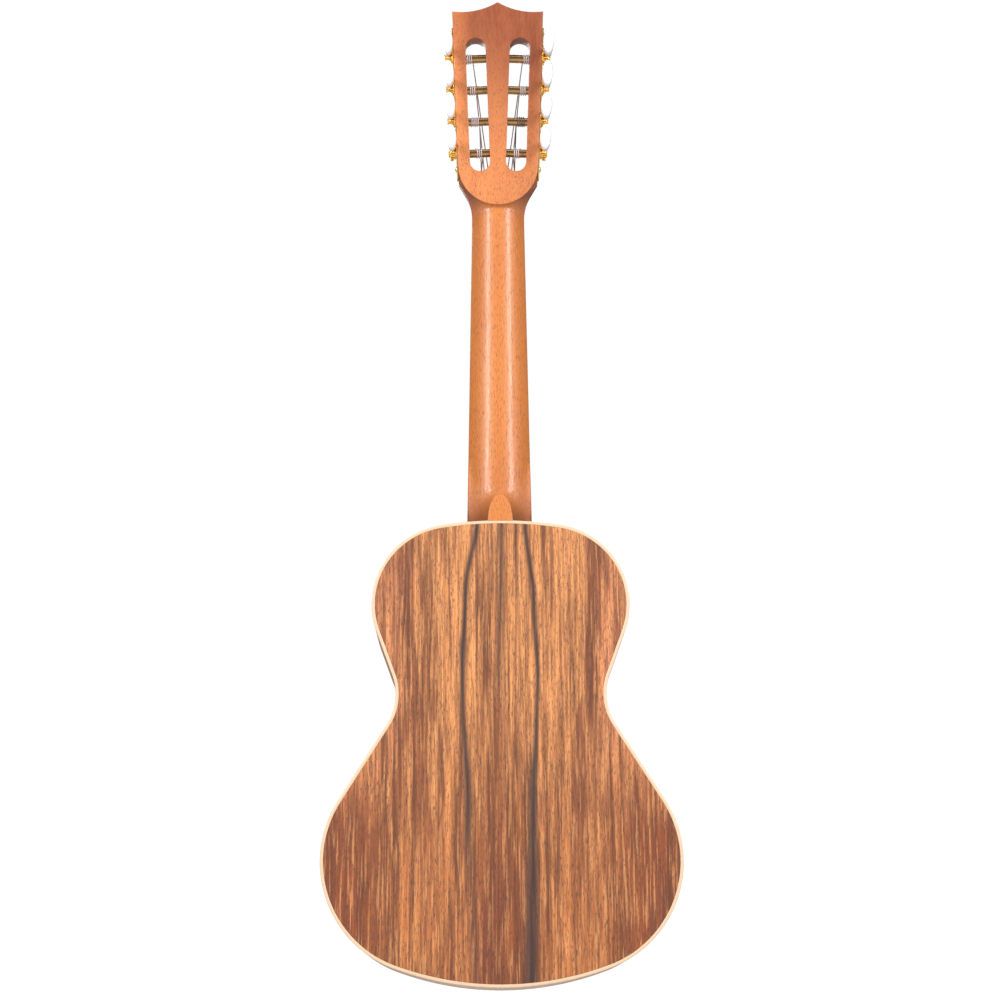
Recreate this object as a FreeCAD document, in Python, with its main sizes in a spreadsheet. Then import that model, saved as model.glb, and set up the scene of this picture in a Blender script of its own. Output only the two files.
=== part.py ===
import FreeCAD, Part
import math
import os
import re

import Sketcher
from FreeCAD import Vector

# Flat-backed, eight-string small lute with a slotted head and geared tuners.
#
# Frame: millimetres, +Z runs up the neck to the head, the soundboard faces -Y and the back faces +Y.
# X = 0 is the centre plane, Y = 0 the soundboard's outer face and Z = 0 the fretboard's edge of the nut.
# Right means +X. Every right-hand piece is drawn once, and its left-hand partner is its mirror image.

SIZES = {
    # how far a cutting solid runs past the piece that it cuts
    "cut_margin": 5.0,
    # strings and frets
    "scale_length": 432.0,
    "joint_fret": 14,
    "fret_count": 19,
    "string_count": 8,
    "string_radius": 0.4,
    "string_rise": 3.2,
    "string_roller_gap": 0.1,
    "string_fan": 1.6,
    # body outline, heights measured up from the tail
    "body_length": 304.5,
    "body_depth": 70.0,
    "lower_half_width": 116.84,
    "lower_radius": 72.46,
    "lower_height": 80.29,
    "waist_half_width": 68.95,
    "waist_radius": 36.76,
    "waist_height": 187.67,
    "upper_half_width": 85.15,
    "upper_radius": 54.02,
    "upper_height": 248.03,
    # body shell
    "plate_thickness": 2.2,
    "side_thickness": 2.0,
    "binding_width": 2.2,
    "lining_width": 5.0,
    "lining_height": 10.0,
    "neck_block_width": 60.0,
    "neck_block_length": 34.0,
    "tail_block_width": 60.0,
    "tail_block_length": 12.0,
    "brace_width": 6.0,
    "brace_height": 9.0,
    "top_bar_rise": 20.0,
    # soundboard
    "hole_radius": 29.0,
    "hole_from_top": 106.5,
    "rosette_inner": 33.0,
    "rosette_outer": 39.0,
    "rosette_depth": 0.8,
    "bridge_width": 92.0,
    "bridge_length": 24.0,
    "bridge_wing": 3.5,
    "bridge_thickness": 7.0,
    "tie_block_width": 56.0,
    "saddle_thickness": 2.5,
    "saddle_length": 52.0,
    "saddle_seat": 3.0,
    "trough_floor": 2.4,
    "bridge_spacing": 6.2,
    "bridge_plate_share": 0.8,
    # neck and heel
    "nut_width": 37.6,
    "joint_width": 45.3,
    "neck_thickness": 15.0,
    "heel_cap_half_width": 8.2,
    "heel_cap_length": 17.8,
    "heel_root_half_width": 21.5,
    "heel_root_length": 44.0,
    "heel_root_level": 10.0,
    "heel_sweep": 10.0,
    "heel_shoulder_share": 0.62,
    "heel_shoulder_narrowing": 0.8,
    "tenon_width": 14.0,
    "tenon_length": 16.0,
    "tenon_inset": 7.8,
    # fretboard and nut
    "fretboard_thickness": 5.0,
    "fretboard_tail": 6.0,
    "fret_width": 2.2,
    "fret_height": 0.9,
    "tang_width": 0.6,
    "tang_depth": 1.6,
    "marker_radius": 2.5,
    "marker_depth": 1.0,
    "nut_length": 5.0,
    "nut_flat": 4.0,
    "nut_height": 7.6,
    "nut_spacing": 4.3,
    # head, measured along its own front plane from the nut
    "head_tilt": 10.0,
    "head_thickness": 17.0,
    "veneer_thickness": 1.8,
    "head_low_half": 28.6,
    "head_low": 33.0,
    "head_high_half": 32.8,
    "head_high": 148.9,
    "head_tip": 155.7,
    "crown_radius": 51.5,
    "head_root_depth": 9.0,
    "head_arc_radius": 28.7,
    "head_arc_centre": 37.0,
    "flare_radius": 32.0,
    "flare_angle": 31.0,
    "head_neck_half": 18.8,
    # slots and tuners, measured along the head's side edge from its lower end
    "slot_width": 15.6,
    "slot_wall": 8.1,
    "slot_start": -1.0,
    "slot_end": 96.0,
    "ramp_length": 12.0,
    "ramp_depth": 3.6,
    "ramp_width": 12.0,
    "first_roller": 13.4,
    "tuner_pitch": 23.0,
    "tuners_per_side": 4,
    "roller_level": 9.5,
    "roller_radius": 3.0,
    "roller_socket": 3.8,
    "running_clearance": 0.1,
    "roller_end_gap": 0.4,
    "roller_step_share": 0.8,
    "plate_start": -5.0,
    "plate_end": 104.0,
    "plate_width": 13.0,
    "tuner_plate_thickness": 1.0,
    "gear_module": 0.6,
    "gear_teeth": 14,
    "gear_width": 2.4,
    "gear_level": 4.2,
    "hub_radius": 3.6,
    "hub_gap": 0.2,
    "worm_pitch_radius": 2.2,
    "mesh_gap": 0.15,
    "tooth_thin": 0.3,
    "worm_turns": 3,
    "ear_half_width": 3.2,
    "ear_thickness": 1.2,
    "ear_reach": 4.1,
    "shaft_radius": 1.45,
    "shaft_stub": 0.6,
    "thread_root_sink": 0.2,
    "collar_radius": 2.4,
    "collar_thickness": 1.0,
    "button_level": 27.0,
    "button_height": 14.0,
    "button_half_length": 9.2,
    "button_half_width": 4.0,
    "button_flat_half_length": 6.6,
    "button_bulge": 0.8,
    "button_round": 1.2,
    "button_wall": 3.0,
    "gear_screw_radius": 2.2,
    "gear_screw_height": 1.0,
    "screw_head_radius": 2.1,
    "screw_head_height": 1.3,
    "screw_radius": 0.9,
    "screw_length": 8.0,
    "screw_lead": 11.4,
    "last_screw_inset": 4.0,
}

DERIVED = {
    "joint_distance": "scale_length * (1 - 2 ^ (-joint_fret / 12))",
    "tail": "(-(joint_distance) - body_length)",
    "rim": "(body_depth - plate_thickness)",
    "hole_height": "(body_length - hole_from_top)",
    "lead": "(pi * gear_module)",
    "gear_pitch_radius": "(gear_module * gear_teeth / 2)",
    "worm_offset": "(gear_module * gear_teeth / 2 + worm_pitch_radius)",
    "side_angle": "atan((head_high_half - head_low_half) / (head_high - head_low))",
    "flare_half": "(head_neck_half + flare_radius * (1 - cos(flare_angle)))",
    "flare_top": "(flare_radius * sin(flare_angle))",
    "edge_at_nut": "(head_low_half - head_low * tan(side_angle))",
    "shoulder": "((edge_at_nut - flare_half + flare_top * tan(flare_angle)) / flare_excess)",
    "flare_excess": "(tan(flare_angle) - tan(side_angle))",
    "shoulder_half": "(edge_at_nut + shoulder * tan(side_angle))",
}

HALF_CIRCLE = "half circle"
MITRED = 1
DOCUMENT = FreeCAD.newDocument("eight_string_ukulele")
SHEET = DOCUMENT.addObject("Spreadsheet::Sheet", "dims")
NODES = []


# ---------------------------------------------------------------- the sheet and its formulas

def fill_sheet():
    """Write one row for each driving size: its name, its value and its alias."""
    for row, (name, value) in enumerate(SIZES.items(), 1):
        SHEET.set("A%d" % row, name)
        SHEET.set("B%d" % row, str(value))
        SHEET.setAlias("B%d" % row, name)
    DOCUMENT.recompute()


def formula(text):
    """Spell out a formula: derived names become their own formulas, and sizes name their cells."""
    def spell(match):
        word = match.group(0)
        if word in DERIVED:
            return "(" + formula(DERIVED[word]) + ")"
        return "dims." + word if word in SIZES else word
    return re.sub(r"[a-z][a-z_]*", spell, str(text))


def value(text):
    """The number that a formula gives now."""
    result = SHEET.evalExpression(formula(text))
    return float(getattr(result, "Value", result))


def bind(item, path, text):
    """Drive one property of an object by a formula."""
    item.setExpression(path, formula(text))


# ---------------------------------------------------------------- frames that pieces sit in

HEAD = "placement(vector(0; 0; 0); rotation(vector(-1; 0; 0); head_tilt))"
DECK = HEAD + (" * placement(vector(head_low_half; 0; head_low);"
               " rotation(vector(0; 1; 0); side_angle))")


def frame(base, x="0", y="0", z="0"):
    """A place in the head's frame or in the tuner deck's frame, as a formula."""
    return base + " * placement(vector(%s; %s; %s); rotation(vector(0; 1; 0); 0))" % (x, y, z)


# ---------------------------------------------------------------- sketches and features

def start_body(name):
    made = DOCUMENT.addObject("PartDesign::Body", name)
    made.Label = name
    return made


def origin_item(body, role):
    return next(item for item in body.Origin.OriginFeatures if item.Role == role)


def start_sketch(body, role, base=("0", "0", "0")):
    """A sketch on one of the body's origin planes, moved by three formulas in the plane's own axes."""
    made = body.newObject("Sketcher::SketchObject", body.Name + "_sketch")
    made.AttachmentSupport = [(origin_item(body, role), "")]
    made.MapMode = "FlatFace"
    for axis, text in zip("xyz", base):
        bind(made, ".AttachmentOffset.Base." + axis, text)
    return made


def front_sketch(body, level, height="0"):
    """A sketch square to Y at the given level, with its origin at the given height."""
    return start_sketch(body, "XZ_Plane", ("0", height, "-(%s)" % level))


def hold(sketch, kind, *where):
    """Add one constraint whose last argument is a formula, and bind it."""
    text = where[-1]
    index = sketch.addConstraint(Sketcher.Constraint(kind, *where[:-1], value(text)))
    bind(sketch, "Constraints[%d]" % index, text)


def hold_point(sketch, edge, end, x, y):
    hold(sketch, "DistanceX", edge, end, x)
    hold(sketch, "DistanceY", edge, end, y)


def draw_circle(sketch, x, y, radius):
    circle = Part.Circle(Vector(value(x), value(y), 0), Vector(0, 0, 1), value(radius))
    edge = sketch.addGeometry(circle, False)
    hold_point(sketch, edge, 3, x, y)
    hold(sketch, "Radius", edge, radius)


def draw_path(sketch, points, radii=None):
    """A closed outline through points given as formulas.

    radii maps the index of an edge to a radius formula and a turn: +1 has the arc's centre on the left of
    the way along the path, and -1 on the right. A radius of HALF_CIRCLE spans the edge's own length.
    """
    radii = radii or {}
    spots = [Vector(value(x), value(y), 0) for x, y in points]
    count = len(points)
    ends = []
    for index in range(count):
        first, last = spots[index], spots[(index + 1) % count]
        if index not in radii:
            edge = sketch.addGeometry(Part.LineSegment(first, last), False)
            ends.append((edge, 1, 2))
            continue
        text, turn = radii[index]
        chord = last - first
        radius = chord.Length / 2 if text == HALF_CIRCLE else value(text)
        rise = math.sqrt(max(radius ** 2 - chord.Length ** 2 / 4, 0))
        across = Vector(-chord.y, chord.x, 0).normalize()
        centre = (first + last) * 0.5 + across * rise * turn
        low, high = (first, last) if turn > 0 else (last, first)
        begin = math.atan2(low.y - centre.y, low.x - centre.x)
        finish = math.atan2(high.y - centre.y, high.x - centre.x)
        if finish < begin:
            finish += 2 * math.pi
        arc = Part.ArcOfCircle(Part.Circle(centre, Vector(0, 0, 1), radius), begin, finish)
        edge = sketch.addGeometry(arc, False)
        ends.append((edge, 1, 2) if turn > 0 else (edge, 2, 1))
    for index, (edge, begin, finish) in enumerate(ends):
        following = ends[(index + 1) % count]
        sketch.addConstraint(Sketcher.Constraint("Coincident", edge, finish, following[0], following[1]))
        hold_point(sketch, edge, begin, *points[index])
        if index in radii and radii[index][0] == HALF_CIRCLE:
            across = spots[(index + 1) % count] - spots[index]
            axis, kind = (1, "DistanceY") if abs(across.x) > abs(across.y) else (0, "DistanceX")
            middle = "((%s) + (%s)) / 2" % (points[index][axis], points[(index + 1) % count][axis])
            hold(sketch, kind, edge, 3, middle)
        elif index in radii:
            hold(sketch, "Radius", edge, radii[index][0])


def draw_box(sketch, x_low, x_high, y_low, y_high):
    draw_path(sketch, [(x_low, y_low), (x_high, y_low), (x_high, y_high), (x_low, y_high)])


def pad(body, sketch, length, backwards=False):
    made = body.newObject("PartDesign::Pad", body.Name + "_pad")
    made.Profile = sketch
    made.Reversed = backwards
    bind(made, "Length", length)
    return made


def pocket(body, sketch, length, backwards=True):
    """Cut along the way that pad would go, or the other way when backwards is False."""
    made = body.newObject("PartDesign::Pocket", body.Name + "_pocket")
    made.Profile = sketch
    made.Reversed = backwards
    bind(made, "Length", length)
    return made


def loft(body, sketches):
    made = body.newObject("PartDesign::AdditiveLoft", body.Name + "_loft")
    made.Profile = sketches[0]
    made.Sections = sketches[1:]
    return made


def slab(name, front, back, draw, height="0"):
    """A flat piece from level front to level back, whose outline the draw function gives."""
    body = start_body(name)
    sketch = front_sketch(body, back, height)
    draw(sketch)
    pad(body, sketch, "(%s) - (%s)" % (back, front))
    return body


def box(name, x, y, z):
    """A Part box from three pairs of formulas, low and high."""
    made = DOCUMENT.addObject("Part::Box", name)
    for axis, side, (low, high) in zip("xyz", ("Length", "Width", "Height"), (x, y, z)):
        bind(made, "Placement.Base." + axis, low)
        bind(made, side, "(%s) - (%s)" % (high, low))
    return made


def combine(kind, name, pieces):
    """A Part boolean or group: Cut and Common take two pieces, MultiFuse and Compound a list."""
    made = DOCUMENT.addObject("Part::" + kind, name)
    made.Label = name
    if kind == "Compound":
        made.Links = pieces
    elif kind == "MultiFuse":
        made.Shapes = pieces
        made.Refine = True
    else:
        made.Base, made.Tool = pieces
    return made


def mirror(name, source):
    made = DOCUMENT.addObject("Part::Mirroring", name)
    made.Label = name
    made.Source = source
    made.Normal = (1, 0, 0)
    return made


def place(item, text):
    bind(item, "Placement", text)
    return item


def instance(name, master, text):
    """Another copy of a piece, set in its own place."""
    return place(combine("Compound", name, [master]), text)


def node(item, name=None):
    """Keep a finished piece: it is written to a file of its own label."""
    item.Label = name or item.Label
    NODES.append(item)
    return item


# ---------------------------------------------------------------- the body's outline

def tangent_point(centre, radius, other, other_radius, turn):
    """Where an inner tangent of two circles leaves the first one."""
    across = other - centre
    angle = math.atan2(across.y, across.x) + turn * math.acos((radius + other_radius) / across.Length)
    return centre + Vector(math.cos(angle), math.sin(angle), 0) * radius


def draw_half_outline(sketch, inset):
    """The right half of the body's outline, drawn inwards of the outer edge by the inset.

    The bouts and the waist are arcs joined by straight tangents, and an arc centred on the middle line
    closes the outline at the tail and one at the neck. The sketch's origin is the tail's outermost point.
    """
    depth = value(inset)
    length = value("body_length")
    lower = Vector(value("lower_half_width - lower_radius"), value("lower_height"), 0)
    waist = Vector(value("waist_half_width + waist_radius"), value("waist_height"), 0)
    upper = Vector(value("upper_half_width - upper_radius"), value("upper_height"), 0)
    radii = (value("lower_radius") - depth, value("waist_radius") + depth, value("upper_radius") - depth)

    def closing_centre(bout, radius, end, sign):
        rise = abs(end - bout.y)
        closing = (bout.x ** 2 + rise ** 2 - radius ** 2) / (2 * (rise - radius))
        return Vector(0, end + sign * closing, 0), closing

    tail_centre, tail_radius = closing_centre(lower, radii[0], depth, 1)
    top_centre, top_radius = closing_centre(upper, radii[2], length - depth, -1)
    joints = [
        tail_centre + (lower - tail_centre).normalize() * tail_radius,
        tangent_point(lower, radii[0], waist, radii[1], -1),
        tangent_point(waist, radii[1], lower, radii[0], -1),
        tangent_point(waist, radii[1], upper, radii[2], 1),
        tangent_point(upper, radii[2], waist, radii[1], 1),
        top_centre + (upper - top_centre).normalize() * top_radius,
    ]
    bottom, top = Vector(0, depth, 0), Vector(0, length - depth, 0)

    def arc(centre, radius, low, high):
        begin = math.atan2(low.y - centre.y, low.x - centre.x)
        finish = math.atan2(high.y - centre.y, high.x - centre.x)
        if finish < begin:
            finish += 2 * math.pi
        return sketch.addGeometry(
            Part.ArcOfCircle(Part.Circle(centre, Vector(0, 0, 1), radius), begin, finish), False)

    tail_arc = arc(tail_centre, tail_radius, bottom, joints[0])
    lower_arc = arc(lower, radii[0], joints[0], joints[1])
    low_line = sketch.addGeometry(Part.LineSegment(joints[1], joints[2]), False)
    waist_arc = arc(waist, radii[1], joints[3], joints[2])
    high_line = sketch.addGeometry(Part.LineSegment(joints[3], joints[4]), False)
    upper_arc = arc(upper, radii[2], joints[4], joints[5])
    top_arc = arc(top_centre, top_radius, joints[5], top)
    middle = sketch.addGeometry(Part.LineSegment(top, bottom), False)
    for one, one_end, two, two_end in (
            (tail_arc, 2, lower_arc, 1), (lower_arc, 2, low_line, 1), (low_line, 2, waist_arc, 2),
            (waist_arc, 1, high_line, 1), (high_line, 2, upper_arc, 1), (upper_arc, 2, top_arc, 1)):
        sketch.addConstraint(Sketcher.Constraint("Tangent", one, one_end, two, two_end))
    sketch.addConstraint(Sketcher.Constraint("Coincident", top_arc, 2, middle, 1))
    sketch.addConstraint(Sketcher.Constraint("Coincident", middle, 2, tail_arc, 1))
    for edge, name, inwards in ((lower_arc, "lower", -1), (waist_arc, "waist", 1), (upper_arc, "upper", -1)):
        centre = "%s_half_width %s %s_radius" % (name, "-" if inwards < 0 else "+", name)
        hold_point(sketch, edge, 3, centre, name + "_height")
        hold(sketch, "Radius", edge, "%s_radius + %d * (%s)" % (name, inwards, inset))
    for edge, end, height in ((tail_arc, 1, inset), (top_arc, 2, "body_length - (%s)" % inset)):
        sketch.addConstraint(Sketcher.Constraint("PointOnObject", edge, 3, -2))
        sketch.addConstraint(Sketcher.Constraint("PointOnObject", edge, end, -2))
        hold(sketch, "DistanceY", edge, end, height)


def half_slab(name, front, back, inset):
    return slab(name, front, back, lambda sketch: draw_half_outline(sketch, inset), "tail")


def half_ring(name, front, back, outer, inner):
    """The right half of a band that follows the outline, between two insets."""
    body = half_slab(name, front, back, outer)
    sketch = front_sketch(body, back, "tail")
    draw_half_outline(sketch, inner)
    pocket(body, sketch, "(%s) - (%s)" % (back, front))
    return body


def full_slab(name, front, back, inset):
    half = half_slab(name + "_half", front, back, inset)
    return combine("MultiFuse", name, [half, mirror(name + "_other_half", half)])


# ---------------------------------------------------------------- body shell

def tail_height(text):
    """A height above the tail, as a Z formula."""
    return "tail + (%s)" % text


def build_plates():
    """Two-piece back and two-piece soundboard, each half a plate between the bindings."""
    back = half_slab("back_right", "rim", "body_depth", "binding_width")
    node(back)
    node(mirror("back_left", back))
    board = half_slab("soundboard_right", "0", "plate_thickness", "binding_width")
    hole = front_sketch(board, "plate_thickness", "tail")
    draw_circle(hole, "0", "hole_height", "hole_radius")
    pocket(board, hole, "plate_thickness")
    seat = front_sketch(board, "rosette_depth", "tail")
    draw_circle(seat, "0", "hole_height", "rosette_outer")
    draw_circle(seat, "0", "hole_height", "rosette_inner")
    pocket(board, seat, "rosette_depth")
    node(board)
    node(mirror("soundboard_left", board))
    rosette = slab("rosette", "0", "rosette_depth", draw_rosette, "tail")
    node(rosette)


def draw_rosette(sketch):
    draw_circle(sketch, "0", "hole_height", "rosette_outer")
    draw_circle(sketch, "0", "hole_height", "rosette_inner")


def build_rims(tenon, block_space):
    """Sides, bindings and linings, all following the outline, with the neck's tenon let into the sides."""
    band = half_ring("side_band", "plate_thickness", "rim", "0", "side_thickness")
    side = node(combine("Cut", "side_right", (band, tenon)))
    node(mirror("side_left", side))
    for name, front, back in (("top_binding", "0", "plate_thickness"), ("back_binding", "rim", "body_depth")):
        strip = half_ring(name + "_right", front, back, "0", "binding_width")
        node(combine("Compound", name, [strip, mirror(name + "_left", strip)]))
    levels = (("top_linings", "plate_thickness", "plate_thickness + lining_height"),
              ("back_linings", "rim - lining_height", "rim"))
    for name, front, back in levels:
        ring = half_ring(name + "_ring", front, back, "side_thickness", "side_thickness + lining_width")
        strip = combine("Cut", name + "_right", (ring, block_space))
        node(combine("Compound", name, [strip, mirror(name + "_left", strip)]))


def build_blocks(tenon):
    """Neck block with its mortise and tail block, shaped by the inside of the sides."""
    inside = full_slab("inside", "plate_thickness", "rim", "side_thickness")
    depth = ("plate_thickness", "rim")
    neck_space = box("neck_block_space", ("-neck_block_width / 2", "neck_block_width / 2"), depth,
                     (tail_height("body_length - side_thickness - neck_block_length"),
                      tail_height("body_length")))
    tail_space = box("tail_block_space", ("-tail_block_width / 2", "tail_block_width / 2"), depth,
                     (tail_height("0"), tail_height("side_thickness + tail_block_length")))
    blank = combine("Common", "neck_block_blank", (inside, neck_space))
    node(combine("Cut", "neck_block", (blank, tenon)))
    node(combine("Common", "tail_block", (inside, tail_space)))
    return combine("Compound", "block_space", [neck_space, tail_space])


def build_braces():
    """Cross bars of the back, cross bars and fan of the soundboard, and the bridge plate."""
    room = full_slab("brace_room", "plate_thickness", "rim", "side_thickness + lining_width")
    wide = ("-lower_half_width", "lower_half_width")

    def bar(name, height, level):
        low = tail_height("(%s) - brace_width / 2" % height)
        blank = box(name + "_blank", wide, level, (low, tail_height("(%s) + brace_width / 2" % height)))
        return combine("Common", name, (room, blank))

    back_level = ("rim - brace_height", "rim")
    back_heights = ("lower_height - lower_radius / 3", "(lower_height + waist_height) / 2",
                    "waist_height + top_bar_rise")
    node(combine("Compound", "back_braces",
                 [bar("back_bar_%d" % (i + 1), height, back_level) for i, height in enumerate(back_heights)]))
    top_level = ("plate_thickness", "plate_thickness + brace_height")
    gap = "(rosette_outer + brace_width)"
    below_hole, above_hole = "hole_height - " + gap, "hole_height + " + gap
    bars = [bar("upper_bar", above_hole, top_level), bar("lower_bar", below_hole, top_level)]
    bridge_height = "(body_length + joint_distance - scale_length)"
    reach = "bridge_length * bridge_plate_share"
    plate_low, plate_high = bridge_height + " - " + reach, bridge_height + " + " + reach
    plate_level = ("plate_thickness", "2 * plate_thickness")
    plate = box("bridge_plate", ("-bridge_width / 2", "bridge_width / 2"), plate_level,
                (tail_height(plate_low), tail_height(plate_high)))
    node(plate)
    for index, place_x in enumerate(("-bridge_width / 3", "0", "bridge_width / 3")):
        across = ("%s - brace_width / 2" % place_x, "%s + brace_width / 2" % place_x)
        fan = box("fan_%d_blank" % (index + 1), across, top_level,
                  (tail_height(plate_high), tail_height(below_hole + " - brace_width / 2")))
        bars.append(combine("Common", "fan_%d" % (index + 1), (room, fan)))
    node(combine("Compound", "top_braces", bars))


def string_x(spacing, index):
    """Where a string lies across the instrument, counted from the left."""
    return "((%d - (string_count - 1) / 2) * %s)" % (index, spacing)


def build_bridge():
    """Tie bridge with thin wings, its saddle in a slot and a hole for each string."""
    body = start_body("bridge")
    level = "-scale_length"
    wings = front_sketch(body, "0", level)
    draw_box(wings, "-bridge_width / 2", "bridge_width / 2", "-bridge_length * 2 / 3", "bridge_length / 3")
    pad(body, wings, "bridge_wing")
    block = front_sketch(body, "-bridge_wing", level)
    draw_box(block, "-tie_block_width / 2", "tie_block_width / 2", "-bridge_length * 2 / 3",
             "bridge_length / 3")
    pad(body, block, "bridge_thickness - bridge_wing")
    slot = front_sketch(body, "-bridge_thickness + saddle_seat", level)
    draw_box(slot, "-saddle_length / 2", "saddle_length / 2", "-saddle_thickness", "0")
    pocket(body, slot, "saddle_seat")
    trough = front_sketch(body, "-trough_floor", level)
    draw_box(trough, "-saddle_length / 2", "saddle_length / 2", "-bridge_length / 3", "-saddle_thickness")
    pocket(body, trough, "bridge_thickness - trough_floor")
    holes = start_sketch(body, "XY_Plane", ("0", "-bridge_thickness + saddle_seat", level))
    for index in range(int(SIZES["string_count"])):
        draw_circle(holes, string_x("bridge_spacing", index), "2 * string_radius", "1.5 * string_radius")
    pocket(body, holes, "bridge_length", False)
    node(body)
    saddle = box("saddle", ("-saddle_length / 2", "saddle_length / 2"),
                 ("-fretboard_thickness - string_rise", "-bridge_thickness + saddle_seat"),
                 ("-scale_length - saddle_thickness", "-scale_length"))
    node(saddle)


# ---------------------------------------------------------------- neck

def draw_neck_section(sketch, width):
    """A flat front and a round back, in the plane square to the neck."""
    radius = "((%s) ^ 2 / 4 + neck_thickness ^ 2) / (2 * neck_thickness)" % width
    draw_path(sketch, [("-(%s) / 2" % width, "0"), ("(%s) / 2" % width, "0")], {1: (radius, 1)})


def draw_heel_section(sketch, level):
    """A tongue that narrows towards its rounded tip, thinner the deeper it lies behind the fretboard."""
    fade = "exp((heel_root_level - (%s)) / heel_sweep)" % level
    half = "(heel_cap_half_width + (heel_root_half_width - heel_cap_half_width) * %s)" % fade
    length = "(heel_cap_length + (heel_root_length - heel_cap_length) * %s)" % fade
    shoulder = "heel_shoulder_share * " + length
    tip = "(1 - heel_shoulder_share) * " + length
    narrow = "heel_shoulder_narrowing * " + half
    tip_radius = "((%s) ^ 2 + (%s) ^ 2) / (2 * (%s))" % (narrow, tip, tip)
    draw_path(sketch, [("-" + half, "-cut_margin"), (half, "-cut_margin"), (narrow, shoulder),
                       ("-" + narrow, shoulder)], {2: (tip_radius, 1)})


def draw_head_outline(sketch):
    """Head seen square to its face: a flare above the nut, straight sides and a pointed crown."""
    right = [("head_neck_half", "0"), ("flare_half", "flare_top"), ("shoulder_half", "shoulder"),
             ("head_high_half", "head_high")]
    left = [("-" + x, y) for x, y in reversed(right)]
    draw_path(sketch, right + [("0", "head_tip")] + left,
              {0: ("flare_radius", -1), 3: ("crown_radius", -1), 4: ("crown_radius", -1),
               7: ("flare_radius", -1)})


def draw_head_back(sketch):
    """The full-depth part of the head, which ends in an arc above the neck."""
    points = [("-head_arc_radius", "head_arc_centre"), ("head_arc_radius", "head_arc_centre"),
              ("head_high_half", "head_high"), ("0", "head_tip"), ("-head_high_half", "head_high")]
    draw_path(sketch, points, {0: (HALF_CIRCLE, 1), 2: ("crown_radius", -1), 3: ("crown_radius", -1)})


def build_slot_tools():
    """Solids that open the two long slots, in the head's frame, running past both faces."""
    def draw(sketch):
        middle = "-(slot_wall + slot_width / 2)"
        half = "slot_width / 2"
        low, high = "slot_start + " + half, "slot_end - " + half
        draw_path(sketch, [(middle + " - " + half, low), (middle + " + " + half, low),
                           (middle + " + " + half, high), (middle + " - " + half, high)],
                  {0: (HALF_CIRCLE, 1), 2: (HALF_CIRCLE, 1)})
    right = place(slab("slot_tool", "-cut_margin", "head_thickness + cut_margin", draw), DECK)
    return [right, mirror("slot_tool_left", right)]


def build_ramp_tools():
    """Solids that slope the head's face down into the lower end of each slot, to clear the strings."""
    ramp = start_body("ramp_tool")
    sketch = start_sketch(ramp, "YZ_Plane", ("0", "0", "-slot_wall - slot_width / 2 - ramp_width / 2"))
    foot = "slot_start + slot_width / 2"
    draw_path(sketch, [("0", "slot_start - ramp_length"), ("ramp_depth", "slot_start"),
                       ("ramp_depth", foot), ("-cut_margin", foot),
                       ("-cut_margin", "slot_start - ramp_length")])
    pad(ramp, sketch, "ramp_width")
    right = place(ramp, DECK)
    return [right, mirror("ramp_tool_left", right)]


def roller_place(index):
    """How far along the head's side edge a roller lies."""
    return "(first_roller + %d * tuner_pitch)" % index


def screw_place(index):
    """How far along the edge a plate screw lies: one below each roller and one near the plate's top."""
    if index < int(SIZES["tuners_per_side"]):
        return roller_place(index) + " - screw_lead"
    return "plate_end - last_screw_inset"


def build_bore_tools():
    """Solids for the roller bores and the plate screws' holes of both sides."""
    body = start_body("bore_tool")
    start = start_sketch(body, "YZ_Plane", ("0", "0", "-slot_wall - slot_width - roller_socket"))
    for index in range(int(SIZES["tuners_per_side"])):
        draw_circle(start, "roller_level", roller_place(index), "roller_radius + running_clearance")
    pad(body, start, "slot_wall + slot_width + roller_socket + cut_margin")
    screws = start_body("screw_hole_tool")
    holes = start_sketch(screws, "YZ_Plane", ("0", "0", "tuner_plate_thickness - screw_length"))
    for index in range(int(SIZES["tuners_per_side"]) + 1):
        draw_circle(holes, "roller_level", screw_place(index), "screw_radius")
    pad(screws, holes, "screw_length")
    tools = []
    for item in (body, screws):
        tools += [place(item, DECK), mirror(item.Name + "_left", item)]
    return tools


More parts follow.
